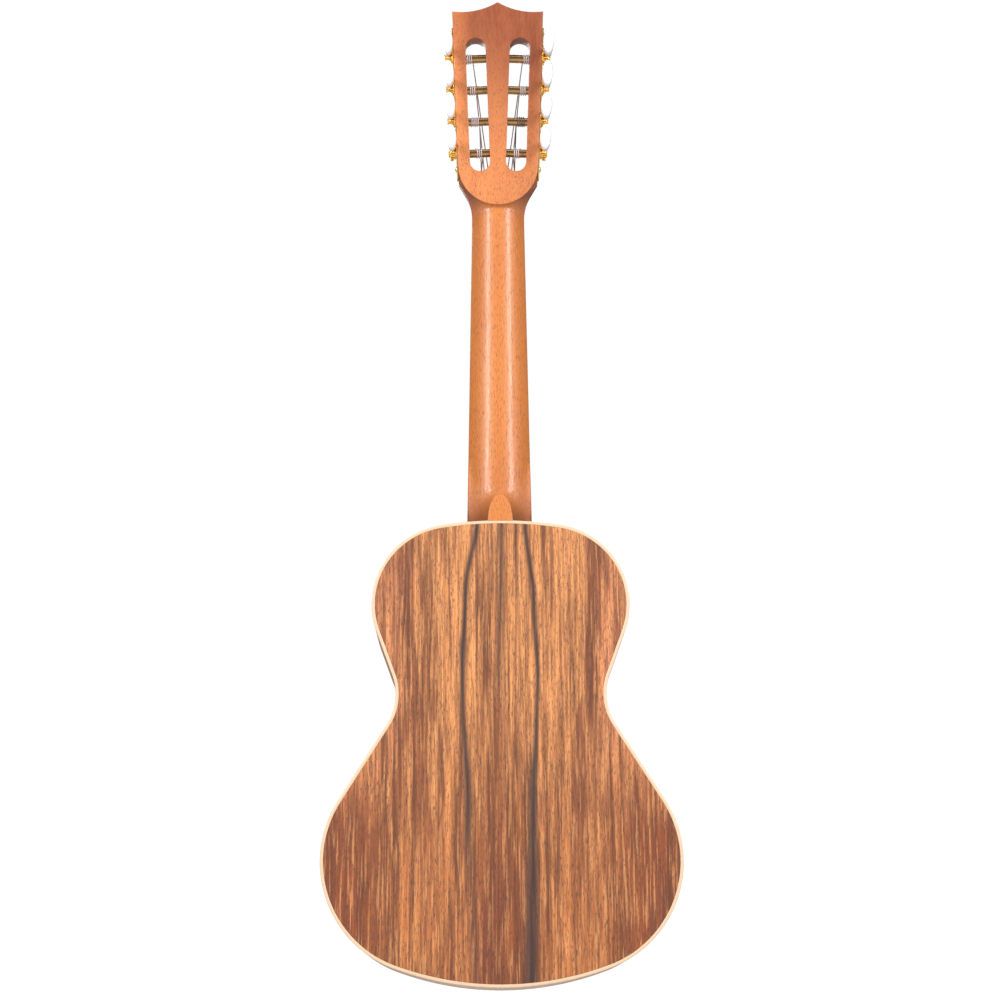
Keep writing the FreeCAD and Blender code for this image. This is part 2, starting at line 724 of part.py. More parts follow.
def build_neck():
    """One-piece neck: shaft, heel with its tenon, and slotted head with a face veneer."""
    shaft = start_body("neck_shaft")
    sections = []
    for height, width in (("-(joint_distance) - 4", "joint_width"), ("0", "nut_width"),
                          ("head_low - 8", "nut_width")):
        sketch = start_sketch(shaft, "XY_Plane", ("0", "0", height))
        draw_neck_section(sketch, width)
        sections.append(sketch)
    loft(shaft, sections[:2])
    loft(shaft, sections[1:])
    heel = start_body("heel")
    levels = ["heel_root_level + (body_depth - heel_root_level) * %s" % share
              for share in ("0", "0.07", "0.17", "0.33", "0.58", "1")]
    heel_sections = []
    for level in levels:
        sketch = front_sketch(heel, level, "-(joint_distance)")
        draw_heel_section(sketch, level)
        heel_sections.append(sketch)
    loft(heel, heel_sections)
    head_back = place(slab("head_back", "veneer_thickness", "head_thickness", draw_head_back), HEAD)
    head_front = place(slab("head_front", "veneer_thickness", "head_root_depth", draw_head_outline), HEAD)
    blank = combine("MultiFuse", "neck_blank", [shaft, heel, head_back, head_front])
    body_space = full_slab("body_space", "-cut_margin", "body_depth + cut_margin", "0")
    wide = ("-head_high_half - cut_margin", "head_high_half + cut_margin")
    face_space = place(slab("head_face_space", "-head_thickness", "veneer_thickness", lambda sketch: draw_box(
        sketch, *wide, "nut_length", "head_tip + cut_margin")), HEAD)
    front_space = box("front_space", wide, ("-head_thickness", "0"),
                      ("-joint_distance - heel_cap_length", "head_low"))
    slots = build_slot_tools() + build_ramp_tools()
    bores = build_bore_tools()
    cutters = combine("MultiFuse", "neck_cutters", [body_space, face_space, front_space] + slots + bores)
    shaped = combine("Cut", "neck_shaped", (blank, cutters))
    tenon = build_tenon()
    node(combine("MultiFuse", "neck", [shaped, tenon]))
    face = place(slab("veneer_blank", "0", "veneer_thickness", draw_head_outline), HEAD)
    past_face = ("-cut_margin", "veneer_thickness + cut_margin")
    foot = place(slab("veneer_foot_space", *past_face, lambda sketch: draw_box(
        sketch, *wide, "-cut_margin", "nut_length")), HEAD)
    node(combine("Cut", "head_veneer", (face, combine("MultiFuse", "veneer_cutters", [foot] + slots))))
    return tenon


def build_tenon():
    """The heel's tongue, which passes through the sides into the neck block."""
    return box(
        "tenon", ("-tenon_width / 2", "tenon_width / 2"),
        ("heel_root_level", "rim - tenon_inset"),
        (tail_height("body_length - tenon_length"), tail_height("body_length + side_thickness")))


def build_fretboard():
    """Tapered board with a slot for each fret and a seat for each marker, plus frets, markers and nut."""
    count = int(SIZES["fret_count"])

    def fret_z(number):
        return "-scale_length * (1 - 2 ^ (-%d / 12))" % number

    def board_width(number):
        share = "(1 - 2 ^ (-%d / 12)) * scale_length / joint_distance" % number
        return "(nut_width + (joint_width - nut_width) * %s)" % share

    end = "(%s - fretboard_tail)" % fret_z(count)
    end_half = "(nut_width + (joint_width - nut_width) * -%s / joint_distance) / 2" % end
    blank = slab("fretboard_blank", "-fretboard_thickness", "0", lambda sketch: draw_path(
        sketch, [("-" + end_half, end), (end_half, end), ("nut_width / 2", "0"), ("-nut_width / 2", "0")]))
    tangs, frets = [], []
    front = "-fretboard_thickness"
    for number in range(1, count + 1):
        half = board_width(number) + " / 2"
        z = fret_z(number)
        tang = box("fret_tang_%d" % number, ("-" + half, half), (front, front + " + tang_depth"),
                   (z + " - tang_width / 2", z + " + tang_width / 2"))
        crown = start_body("fret_crown_%d" % number)
        sketch = start_sketch(crown, "YZ_Plane", (front, z, "-" + half))
        radius = "(fret_width ^ 2 / 4 + fret_height ^ 2) / (2 * fret_height)"
        draw_path(sketch, [("0", "fret_width / 2"), ("0", "-fret_width / 2")], {0: (radius, 1)})
        pad(crown, sketch, "2 * " + half)
        tangs.append(tang)
        frets.append(combine("MultiFuse", "fret_%d" % number, [crown, tang]))
    dots = []
    marked = ((5, "0"), (7, "0"), (10, "0"), (12, "-nut_width / 5"), (12, "nut_width / 5"), (15, "0"))
    for number, x in marked:
        z = "(%s + %s) / 2" % (fret_z(number), fret_z(number - 1))
        dots.append(slab("marker_%d" % (len(dots) + 1), front, front + " + marker_depth",
                         lambda sketch, x=x, z=z: draw_circle(sketch, x, z, "marker_radius")))
    node(combine("Cut", "fretboard", (blank, combine("Compound", "fretboard_cutters", tangs + dots))))
    node(combine("Compound", "frets", frets))
    node(combine("Compound", "fret_markers", dots))
    nut = start_body("nut")
    sketch = start_sketch(nut, "YZ_Plane", ("0", "0", "-nut_width / 2"))
    draw_path(sketch, [("0", "0"), ("0", "nut_length"), ("-fretboard_thickness", "nut_length"),
                       ("-nut_height", "nut_flat"), ("-nut_height", "0")])
    pad(nut, sketch, "nut_width")
    notches = start_sketch(nut, "XY_Plane", ("0", "-nut_height", "nut_length + cut_margin"))
    for index in range(int(SIZES["string_count"])):
        x = string_x("nut_spacing", index)
        draw_box(notches, x + " - string_radius", x + " + string_radius", "-cut_margin", "2 * string_radius")
    pocket(nut, notches, "nut_length + 2 * cut_margin", False)
    node(nut)


# ---------------------------------------------------------------- tuners, drawn in the deck's frame
# In that frame X points out of the head's side, Y is the depth behind the head's face and Z runs up the edge.

def worm_place(index):
    return roller_place(index) + " + worm_offset"


def build_tuner_plates():
    """Long side plate with two bored ears for each worm and holes for rollers and screws."""
    body = start_body("plate_blank")
    half = "plate_width / 2"
    sketch = start_sketch(body, "YZ_Plane")
    draw_box(sketch, "roller_level - " + half, "roller_level + " + half, "plate_start", "plate_end")
    pad(body, sketch, "tuner_plate_thickness")
    count = int(SIZES["tuners_per_side"])
    front_ear = "(roller_level - ear_reach)"
    back_ear = "(roller_level + ear_reach + ear_thickness)"
    for level in (front_ear, back_ear):
        ears = front_sketch(body, level)
        for index in range(count):
            low, high = worm_place(index) + " - ear_half_width", worm_place(index) + " + ear_half_width"
            draw_path(ears, [("0", low), ("gear_level", low), ("gear_level", high), ("0", high)],
                      {1: (HALF_CIRCLE, 1)})
        pad(body, ears, "ear_thickness")
    journals = front_sketch(body, back_ear)
    for index in range(count):
        draw_circle(journals, "gear_level", worm_place(index), "shaft_radius + running_clearance")
    pocket(body, journals, "2 * ear_reach + 2 * ear_thickness")
    rollers = start_sketch(body, "YZ_Plane")
    for index in range(count):
        draw_circle(rollers, "roller_level", roller_place(index), "roller_radius + running_clearance")
    for index in range(count + 1):
        draw_circle(rollers, "roller_level", screw_place(index), "screw_radius")
    pocket(body, rollers, "tuner_plate_thickness")
    right = node(instance("tuner_plate_right", body, DECK))
    node(mirror("tuner_plate_left", right))


def build_plate_screws():
    """Ten round-headed wood screws, five to a plate."""
    body = start_body("plate_screw")
    head = start_sketch(body, "YZ_Plane", ("0", "0", "tuner_plate_thickness"))
    draw_circle(head, "roller_level", "0", "screw_head_radius")
    pad(body, head, "screw_head_height")
    shank = start_sketch(body, "YZ_Plane", ("0", "0", "tuner_plate_thickness - screw_length"))
    draw_circle(shank, "roller_level", "0", "screw_radius")
    pad(body, shank, "screw_length")
    right = [instance("plate_screw_%d" % (index + 1), body, frame(DECK, z=screw_place(index)))
             for index in range(int(SIZES["tuners_per_side"]) + 1)]
    left = [mirror(item.Name + "_left", item) for item in right]
    node(combine("Compound", "plate_screws", right + left))


def build_worm():
    """Worm with its shaft and collar, its axis on its own Y axis."""
    body = start_body("worm_master")
    tip = front_sketch(body, "button_level + button_height - button_wall")
    draw_circle(tip, "0", "0", "shaft_radius")
    front_end = "(roller_level - ear_reach - ear_thickness)"
    pad(body, tip, "button_level + button_height - button_wall - " + front_end + " + shaft_stub")
    collar_back = "(roller_level + ear_reach + ear_thickness + hub_gap + collar_thickness)"
    collar = front_sketch(body, collar_back)
    draw_circle(collar, "0", "0", "collar_radius")
    pad(body, collar, "collar_thickness")
    root_half = "(lead / 4 - tooth_thin / 2 + gear_module / 3)"
    tip_half = "(lead / 4 - tooth_thin / 2 - gear_module / 3)"
    outer = "(worm_pitch_radius + gear_module)"
    start = "roller_level - worm_turns * lead / 2"
    side = "(1 - 2 * (worm_turns % 2))"
    inner_z, outer_z = "-%s * (shaft_radius - thread_root_sink)" % side, "-%s * %s" % (side, outer)
    profile = start_sketch(body, "YZ_Plane")
    draw_path(profile, [(start + " - " + root_half, inner_z), (start + " + " + root_half, inner_z),
                        (start + " + " + tip_half, outer_z), (start + " - " + tip_half, outer_z)])
    thread = body.newObject("PartDesign::AdditiveHelix", "worm_thread")
    thread.Profile = profile
    thread.ReferenceAxis = (origin_item(body, "Y_Axis"), [""])
    thread.Mode = 0
    bind(thread, "Pitch", "lead")
    bind(thread, "Height", "worm_turns * lead")
    return body


def build_gear():
    """Gear wheel and hub with the screw that clamps it, its axis on its own X axis."""
    body = start_body("gear_master")
    outer = "(gear_pitch_radius + gear_module)"
    disc = start_sketch(body, "YZ_Plane", ("0", "0", "gear_level - gear_width / 2"))
    draw_circle(disc, "0", "0", outer)
    pad(body, disc, "gear_width")
    hub = start_sketch(body, "YZ_Plane", ("0", "0", "tuner_plate_thickness + hub_gap"))
    draw_circle(hub, "0", "0", "hub_radius")
    pad(body, hub, "gear_level - gear_width / 2 - tuner_plate_thickness - hub_gap")
    gap = start_sketch(body, "YZ_Plane", ("0", "0", "gear_level - gear_width / 2"))
    root_half = "(lead / 4 + tooth_thin / 2 - gear_module / 3)"
    tip_half = "(lead / 4 + tooth_thin / 2 + gear_module / 2)"
    root = "(gear_pitch_radius - gear_module - mesh_gap)"
    beyond = "(gear_pitch_radius + 1.5 * gear_module)"
    draw_path(gap, [("-" + root_half, root), (root_half, root), (tip_half, beyond), ("-" + tip_half, beyond)])
    cut = pocket(body, gap, "gear_width")
    DOCUMENT.recompute()
    teeth = body.newObject("PartDesign::PolarPattern", "gear_gaps")
    teeth.Originals = [cut]
    teeth.Axis = (origin_item(body, "X_Axis"), [""])
    teeth.Angle = 360
    bind(teeth, "Occurrences", "gear_teeth")
    body.Tip = teeth
    bore = start_sketch(body, "YZ_Plane", ("0", "0", "0"))
    draw_circle(bore, "0", "0", "roller_radius * roller_step_share")
    pocket(body, bore, "gear_level + gear_width")
    return body


def build_gear_screw():
    body = start_body("gear_screw_master")
    head = start_sketch(body, "YZ_Plane", ("0", "0", "gear_level + gear_width / 2"))
    draw_circle(head, "0", "0", "gear_screw_radius")
    pad(body, head, "gear_screw_height")
    return body


def build_roller():
    """String roller, stepped down where the gear sits on it, with a cross hole for the string."""
    body = start_body("roller_master")
    inner_end = "(-slot_wall - slot_width - roller_socket + roller_end_gap)"
    rod = start_sketch(body, "YZ_Plane", ("0", "0", inner_end))
    draw_circle(rod, "0", "0", "roller_radius")
    pad(body, rod, "tuner_plate_thickness + hub_gap - " + inner_end)
    step = start_sketch(body, "YZ_Plane", ("0", "0", "tuner_plate_thickness + hub_gap"))
    draw_circle(step, "0", "0", "roller_radius * roller_step_share")
    pad(body, step, "gear_level + gear_width / 2 - tuner_plate_thickness - hub_gap")
    hole = front_sketch(body, "roller_radius + cut_margin")
    draw_circle(hole, "-slot_wall - slot_width / 2", "0", "1.5 * string_radius")
    pocket(body, hole, "2 * (roller_radius + cut_margin)")
    return body


def build_button():
    """Oval button with a blind bore that fits the worm's shaft, its axis on its own Y axis."""
    body = start_body("button_master")
    sketch = front_sketch(body, "button_level + button_height")
    flat_x, flat_z = "(button_half_width - button_bulge)", "button_flat_half_length"
    side_radius = "(%s ^ 2 + button_bulge ^ 2) / (2 * button_bulge)" % flat_z
    end_rise = "(button_half_length - button_flat_half_length)"
    end_radius = "(%s ^ 2 + %s ^ 2) / (2 * %s)" % (flat_x, end_rise, end_rise)
    draw_path(sketch, [(flat_x, "-" + flat_z), (flat_x, flat_z), ("-" + flat_x, flat_z),
                       ("-" + flat_x, "-" + flat_z)],
              {0: (side_radius, 1), 1: (end_radius, 1), 2: (side_radius, 1), 3: (end_radius, 1)})
    block = pad(body, sketch, "button_height")
    DOCUMENT.recompute()
    fillet = body.newObject("PartDesign::Fillet", "button_edges")
    rims = ["Edge%d" % (i + 1) for i, edge in enumerate(block.Shape.Edges)
            if edge.BoundBox.YLength < 1e-6]
    fillet.Base = (block, rims)
    bind(fillet, "Radius", "button_round")
    bore = front_sketch(body, "button_level + button_height - button_wall")
    draw_circle(bore, "0", "0", "shaft_radius")
    pocket(body, bore, "button_height")
    return body


def build_tuners():
    """Four tuners on the right and their mirror images, numbered up from the nut, right side first."""
    worm, gear, screw = build_worm(), build_gear(), build_gear_screw()
    roller, button = build_roller(), build_button()
    count = int(SIZES["tuners_per_side"])
    for index in range(count):
        at_roller = frame(DECK, "0", "roller_level", roller_place(index))
        at_worm = frame(DECK, "gear_level", "0", worm_place(index))
        clamp = instance("gear_screw_%d" % (index + 1), screw, at_roller)
        wheel = instance("gear_wheel_%d" % (index + 1), gear, at_roller)
        pieces = {
            "gear": combine("Compound", "gear_%d" % (index + 1), [wheel, clamp]),
            "string_roller": instance("string_roller_%d" % (index + 1), roller, at_roller),
            "worm_shaft": instance("worm_shaft_%d" % (index + 1), worm, at_worm),
            "tuner_button": instance("tuner_button_%d" % (index + 1), button, at_worm),
        }
        for kind, piece in pieces.items():
            node(piece)
            node(mirror("%s_%d" % (kind, index + 1 + count), piece))


# ---------------------------------------------------------------- strings

def string_tuner(index):
    """Side (+1 right) and place up the head of the tuner that a string runs to, outer strings lowest."""
    half = int(SIZES["string_count"]) // 2
    return (1, int(SIZES["string_count"]) - 1 - index) if index >= half else (-1, index)


def build_strings():
    """Eight strings from the bridge over saddle and nut to the front of their rollers, pulled straight."""
    radius = value("string_radius")
    tilt, lean = math.radians(value("head_tilt")), math.radians(value("side_angle"))
    solids = []
    for index in range(int(SIZES["string_count"])):
        side, place_up = string_tuner(index)
        along = value(roller_place(place_up))
        out = value("-slot_wall - slot_width / 2 + (%d - (tuners_per_side - 1) / 2) * string_fan" % place_up)
        head_x = side * (value("head_low_half") + out * math.cos(lean) + along * math.sin(lean))
        head_s = value("head_low") - out * math.sin(lean) + along * math.cos(lean)
        head_t = value("roller_level - roller_radius - string_roller_gap") - radius
        bridge_x = value(string_x("bridge_spacing", index))
        nut_x = value(string_x("nut_spacing", index))
        saddle_y = value("-fretboard_thickness - string_rise") - radius
        nut_y = value("-nut_height") + radius
        tie_y = value("-bridge_thickness + saddle_seat + 2 * string_radius")
        points = [
            Vector(bridge_x, tie_y, value("-scale_length - bridge_length * 2 / 3")),
            Vector(bridge_x, tie_y, value("-scale_length - bridge_length / 3")),
            Vector(bridge_x, saddle_y, value("-scale_length - saddle_thickness")),
            Vector(bridge_x, saddle_y, value("-scale_length")),
            Vector(nut_x, nut_y, 0),
            Vector(nut_x, nut_y, value("nut_flat")),
            Vector(head_x, head_t * math.cos(tilt) + head_s * math.sin(tilt),
                   head_s * math.cos(tilt) - head_t * math.sin(tilt)),
        ]
        end = Part.Wire(Part.makeCircle(radius, points[0], points[1] - points[0]))
        solids.append(Part.makePolygon(points).makePipeShell([end], True, False, MITRED))
    strings = DOCUMENT.addObject("Part::Feature", "strings")
    strings.Shape = Part.makeCompound(solids)
    strings.Placement = FreeCAD.Placement()
    node(strings)


# ---------------------------------------------------------------- build, check and write

def check_objects():
    failed = [item.Name for item in DOCUMENT.Objects if {"Invalid", "Error"} & set(item.State)]
    if failed:
        raise RuntimeError("failed to build: " + ", ".join(failed))
    for item in NODES:
        shape = item.Shape
        if shape.isNull() or not shape.isValid() or not shape.Solids:
            raise RuntimeError("%s has no sound shape" % item.Label)


def write_nodes():
    os.makedirs("parts", exist_ok=True)
    for item in NODES:
        item.Shape.exportStep(os.path.join("parts", item.Label + ".step"))


def build():
    fill_sheet()
    tenon = build_neck()
    block_space = build_blocks(tenon)
    build_plates()
    build_rims(tenon, block_space)
    build_braces()
    build_bridge()
    build_fretboard()
    build_tuner_plates()
    build_plate_screws()
    build_tuners()
    build_strings()
    DOCUMENT.recompute()
    check_objects()
    write_nodes()
    print("%d nodes, %d solids" % (len(NODES), sum(len(item.Shape.Solids) for item in NODES)))


build()
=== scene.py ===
"""Looks of an eight-string, flat-backed small lute with a slotted head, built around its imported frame."""

import logging
import math
from dataclasses import dataclass, field
from enum import Enum
from typing import Any, Callable, Dict, List, Optional, Sequence, Tuple

import bmesh
import bpy
import numpy as np
from mathutils import Matrix, Vector


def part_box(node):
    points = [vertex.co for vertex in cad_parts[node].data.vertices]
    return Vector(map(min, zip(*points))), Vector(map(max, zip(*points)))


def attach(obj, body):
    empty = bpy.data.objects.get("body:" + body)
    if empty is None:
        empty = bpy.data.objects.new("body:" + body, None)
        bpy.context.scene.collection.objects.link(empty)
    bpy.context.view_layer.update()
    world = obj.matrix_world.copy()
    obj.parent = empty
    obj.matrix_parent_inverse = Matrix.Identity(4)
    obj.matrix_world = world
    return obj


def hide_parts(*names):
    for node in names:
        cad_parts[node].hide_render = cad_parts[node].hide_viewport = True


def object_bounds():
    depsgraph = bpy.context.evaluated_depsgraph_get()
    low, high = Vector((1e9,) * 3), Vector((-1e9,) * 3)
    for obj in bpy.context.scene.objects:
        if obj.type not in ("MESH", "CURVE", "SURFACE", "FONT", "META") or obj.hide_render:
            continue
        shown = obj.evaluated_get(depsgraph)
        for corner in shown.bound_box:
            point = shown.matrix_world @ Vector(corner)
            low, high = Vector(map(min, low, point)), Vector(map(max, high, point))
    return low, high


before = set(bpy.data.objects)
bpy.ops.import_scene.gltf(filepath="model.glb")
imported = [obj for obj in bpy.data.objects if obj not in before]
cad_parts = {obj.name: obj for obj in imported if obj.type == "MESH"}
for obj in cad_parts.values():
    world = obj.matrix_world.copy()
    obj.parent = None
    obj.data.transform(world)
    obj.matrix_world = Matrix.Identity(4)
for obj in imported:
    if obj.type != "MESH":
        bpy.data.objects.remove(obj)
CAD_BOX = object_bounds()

MM = 0.001
BODY = "instrument"
WOUND_TUNER = 6
SCREW_SLOT = (0.6 * MM, 6.0 * MM, 1.2 * MM)
LOG = logging.getLogger("lute")

Colour = Tuple[float, float, float]
Place = Callable[[float, float, float], Vector]


# ---------------------------------------------------------------- node trees as Python expressions

class Graph:
    """A node tree that is written as Python expressions on its terms."""

    def __init__(self, tree: bpy.types.NodeTree) -> None:
        """Keep the tree that nodes are added to."""
        self.tree = tree

    def add(self, kind: str, settings: Optional[Dict[str, Any]] = None,
            sockets: Optional[Dict[Any, Any]] = None, output: Any = 0) -> "Term":
        """Add one node.

        Args:
            kind: the node's type name.
            settings: its properties, set first; "stops" fills a colour ramp.
            sockets: values or terms for its inputs, by name or index.
            output: which output the returned term stands for.

        Returns:
            The chosen output as a term.
        """
        node = self.tree.nodes.new(kind)
        for name, setting in (settings or {}).items():
            if name == "stops":
                self.fill_ramp(node.color_ramp, setting)
            else:
                setattr(node, name, setting)
        for key, given in (sockets or {}).items():
            if isinstance(given, Term):
                self.tree.links.new(given.socket, node.inputs[key])
            else:
                node.inputs[key].default_value = given
        return Term(self, node.outputs[output])

    @staticmethod
    def fill_ramp(ramp: bpy.types.ColorRamp, stops: Sequence[Tuple[float, Any]]) -> None:
        """Fill a ramp from (position, colour or grey) pairs."""
        ramp.interpolation = "EASE"
        while len(ramp.elements) < len(stops):
            ramp.elements.new(1.0)
        for element, (position, shade) in zip(ramp.elements, stops):
            element.position = position
            element.color = (*shade, 1.0) if isinstance(shade, tuple) else (shade, shade, shade, 1.0)

    def mix(self, factor: Any, first: Any, second: Any, blend: str = "MIX") -> "Term":
        """Blend two colours.

        Args:
            factor: how much of the second colour.
            first: the colour at factor 0, as a tuple or term.
            second: the colour at factor 1, as a tuple or term.
            blend: the blend mode.

        Returns:
            The mixed colour.
        """
        def colour(given: Any) -> Any:
            return (*given, 1.0) if isinstance(given, tuple) else given
        return self.add("ShaderNodeMix", {"data_type": "RGBA", "blend_type": blend, "clamp_factor": True},
                        {0: factor, 6: colour(first), 7: colour(second)}, 2)

    def noise(self, where: "Term", scale: float = 1.0, detail: float = 3.0, rough: float = 0.55,
              bend: float = 0.0) -> "Term":
        """Value noise in 3-D.

        Args:
            where: the position that the noise reads.
            scale: cells per unit of the position.
            detail: octaves of finer noise.
            rough: strength of the finer octaves.
            bend: how far the noise is warped.

        Returns:
            A value around one half.
        """
        return self.add("ShaderNodeTexNoise", None, {
            "Vector": where, "Scale": scale, "Detail": detail, "Roughness": rough, "Distortion": bend})

    def stretch(self, where: "Term", scales: Sequence[float], shift: Sequence[float] = (0, 0, 0)) -> "Term":
        """Scale a position axis by axis.

        Args:
            where: the position.
            scales: one factor for each axis.
            shift: what is added after scaling.

        Returns:
            The stretched position.
        """
        return self.add("ShaderNodeMapping", None, {"Vector": where, "Scale": scales, "Location": shift})


class Term:
    """One value in a graph; Python operators on it add Math nodes."""

    def __init__(self, graph: Graph, socket: bpy.types.NodeSocket) -> None:
        """Wrap an output socket."""
        self.graph, self.socket = graph, socket

    def out(self, name: Any) -> "Term":
        """Another output of the same node."""
        return Term(self.graph, self.socket.node.outputs[name])

    def math(self, operation: str, *others: Any) -> "Term":
        """Apply a Math node to this term and others."""
        return self.graph.add("ShaderNodeMath", {"operation": operation}, dict(enumerate((self, *others))))

    def before(self, operation: str, other: float) -> "Term":
        """Apply a Math node to a number first and this term second."""
        return self.graph.add("ShaderNodeMath", {"operation": operation}, {0: other, 1: self})

    def __add__(self, other: Any) -> "Term":
        """Sum."""
        return self.math("ADD", other)

    def __radd__(self, other: float) -> "Term":
        """Sum with a number first."""
        return self.before("ADD", other)

    def __sub__(self, other: Any) -> "Term":
        """Difference."""
        return self.math("SUBTRACT", other)

    def __rsub__(self, other: float) -> "Term":
        """Difference from a number."""
        return self.before("SUBTRACT", other)

    def __mul__(self, other: Any) -> "Term":
        """Product."""
        return self.math("MULTIPLY", other)

    def __rmul__(self, other: float) -> "Term":
        """Product with a number first."""
        return self.before("MULTIPLY", other)

    def __truediv__(self, other: Any) -> "Term":
        """Quotient."""
        return self.math("DIVIDE", other)

    def __pow__(self, other: Any) -> "Term":
        """Power."""
        return self.math("POWER", other)

    def __rpow__(self, other: float) -> "Term":
        """A number to this power."""
        return self.before("POWER", other)

    def __neg__(self) -> "Term":
        """Opposite."""
        return self.math("MULTIPLY", -1.0)

    def __abs__(self) -> "Term":
        """Size without sign."""
        return self.math("ABSOLUTE")

    def rise(self, low: float, high: float) -> "Term":
        """A smooth step from 0 at low to 1 at high."""
        return self.graph.add("ShaderNodeMapRange", {"interpolation_type": "SMOOTHSTEP"},
                              {"Value": self, "From Min": low, "From Max": high})

    def band(self, centre: Any, half_width: Any) -> "Term":
        """A soft band: 1 at its centre, falling to 0 about one half width further out."""
        share = (self - centre) / half_width
        return (share * share * -1.6).math("EXPONENT")

    def ramp(self, stops: Sequence[Tuple[float, Any]]) -> "Term":
        """Read a smooth ramp at this value."""
        return self.graph.add("ShaderNodeValToRGB", {"stops": stops}, {0: self})


# ---------------------------------------------------------------- finishes

class Axis(Enum):
    """A direction that wood grain can run in."""

    X = 0
    Y = 1
    Z = 2


@dataclass(frozen=True)
class Finish:
    """What all finishes share: a name, a plain colour and its gloss."""

    name: str
    colour: Colour
    roughness: float = 0.4
    metallic: float = 0.0
    coat: float = 0.0

    def material(self) -> bpy.types.Material:
        """The finish as a material, made once."""
        title = "%s_%s" % (self.name, type(self).__name__.lower())
        made = bpy.data.materials.get(title)
        if made:
            return made
        made = bpy.data.materials.new(title)
        made.use_nodes = True
        made.diffuse_color = (*self.colour, 1.0)
        graph = Graph(made.node_tree)
        shader = next(node for node in made.node_tree.nodes if node.type == "BSDF_PRINCIPLED")
        shader.inputs["Metallic"].default_value = self.metallic
        shader.inputs["Coat Weight"].default_value = self.coat
        shader.inputs["Coat Roughness"].default_value = 0.12
        where = graph.add("ShaderNodeTexCoord", output="Object")
        for name, term in self.paint(graph, where).items():
            graph.tree.links.new(term.socket, shader.inputs[name])
        return made

    def paint(self, graph: Graph, where: Term) -> Dict[str, Term]:
        """The varying inputs of the shader.

        Args:
            graph: the material's graph.
            where: the position on the piece.

        Returns:
            A term for each varying shader input.
        """
        haze = graph.noise(where, 90.0)
        shade = graph.mix(haze.rise(0.35, 0.7) * 0.25, self.colour, tuple(0.82 * c for c in self.colour))
        return {"Base Color": shade, "Roughness": self.roughness * (0.8 + 0.4 * haze),
                "Normal": self.relief(graph, graph.noise(where, 700.0), 0.05)}

    @staticmethod
    def relief(graph: Graph, height: Term, depth_mm: float) -> Term:
        """Turn a height from 0 to 1 into a bumped normal of the given depth."""
        return graph.add("ShaderNodeBump", None, {
            "Strength": 0.6, "Distance": depth_mm * MM, "Height": height})


@dataclass(frozen=True)
class Wood(Finish):
    """Wood with growth stripes, fine lines and short open pores along its grain."""

    dark: Colour = (0.2, 0.08, 0.03)
    pore: Colour = (0.12, 0.05, 0.02)
    grain: Axis = Axis.Z
    stripe_mm: float = 6.0
    line_mm: float = 1.3
    stripes: float = 0.55
    lines: float = 0.5
    pores: float = 0.5
    seed: float = 0.0

    def along(self, graph: Graph, where: Term, width_mm: float, length_mm: float) -> Term:
        """The position in cells of the given width across the grain and length along it."""
        scales = [1 / (width_mm * MM)] * 3
        scales[self.grain.value] = 1 / (length_mm * MM)
        return graph.stretch(where, scales, (self.seed, self.seed * 1.7, self.seed * 0.6))

    def marks(self, graph: Graph, where: Term) -> Tuple[Term, Term, Term]:
        """Growth stripes, fine lines and pores, each from 0 to 1."""
        stripe = graph.noise(self.along(graph, where, self.stripe_mm, 110.0), 1.0, 3.0, 0.6, 0.3)
        line = graph.noise(self.along(graph, where, self.line_mm, 26.0), 1.0, 4.0, 0.65, 0.15)
        pore = graph.noise(self.along(graph, where, 0.55, 3.4), 1.0, 2.0, 0.5)
        return stripe.rise(0.3, 0.72), line.rise(0.34, 0.68), pore.rise(0.5, 0.72)

    def tone(self, graph: Graph, where: Term) -> Term:
        """Ground colour before the grain is laid over it."""
        drift = graph.noise(self.along(graph, where, 45.0, 160.0), 1.0, 1.0)
        return graph.mix(drift.rise(0.35, 0.65) * 0.3, self.colour, tuple(0.78 * c for c in self.colour))

    def figure(self, graph: Graph, where: Term, shade: Term) -> Term:
        """What is laid over the grain: nothing, in plain wood."""
        return shade

    def paint(self, graph: Graph, where: Term) -> Dict[str, Term]:
        """Colour, gloss and relief of the grain."""
        stripe, line, pore = self.marks(graph, where)
        shade = graph.mix(stripe * self.stripes, self.tone(graph, where), self.dark)
        shade = graph.mix(line * self.lines, shade, graph.mix(0.6, shade, self.dark))
        shade = self.figure(graph, where, shade)
        shade = graph.mix(pore * self.pores, shade, self.pore)
        gloss = self.roughness + 0.12 * line + 0.1 * pore
        height = 1 - 0.5 * pore - 0.2 * line
        return {"Base Color": shade, "Roughness": gloss, "Normal": self.relief(graph, height, 0.06)}


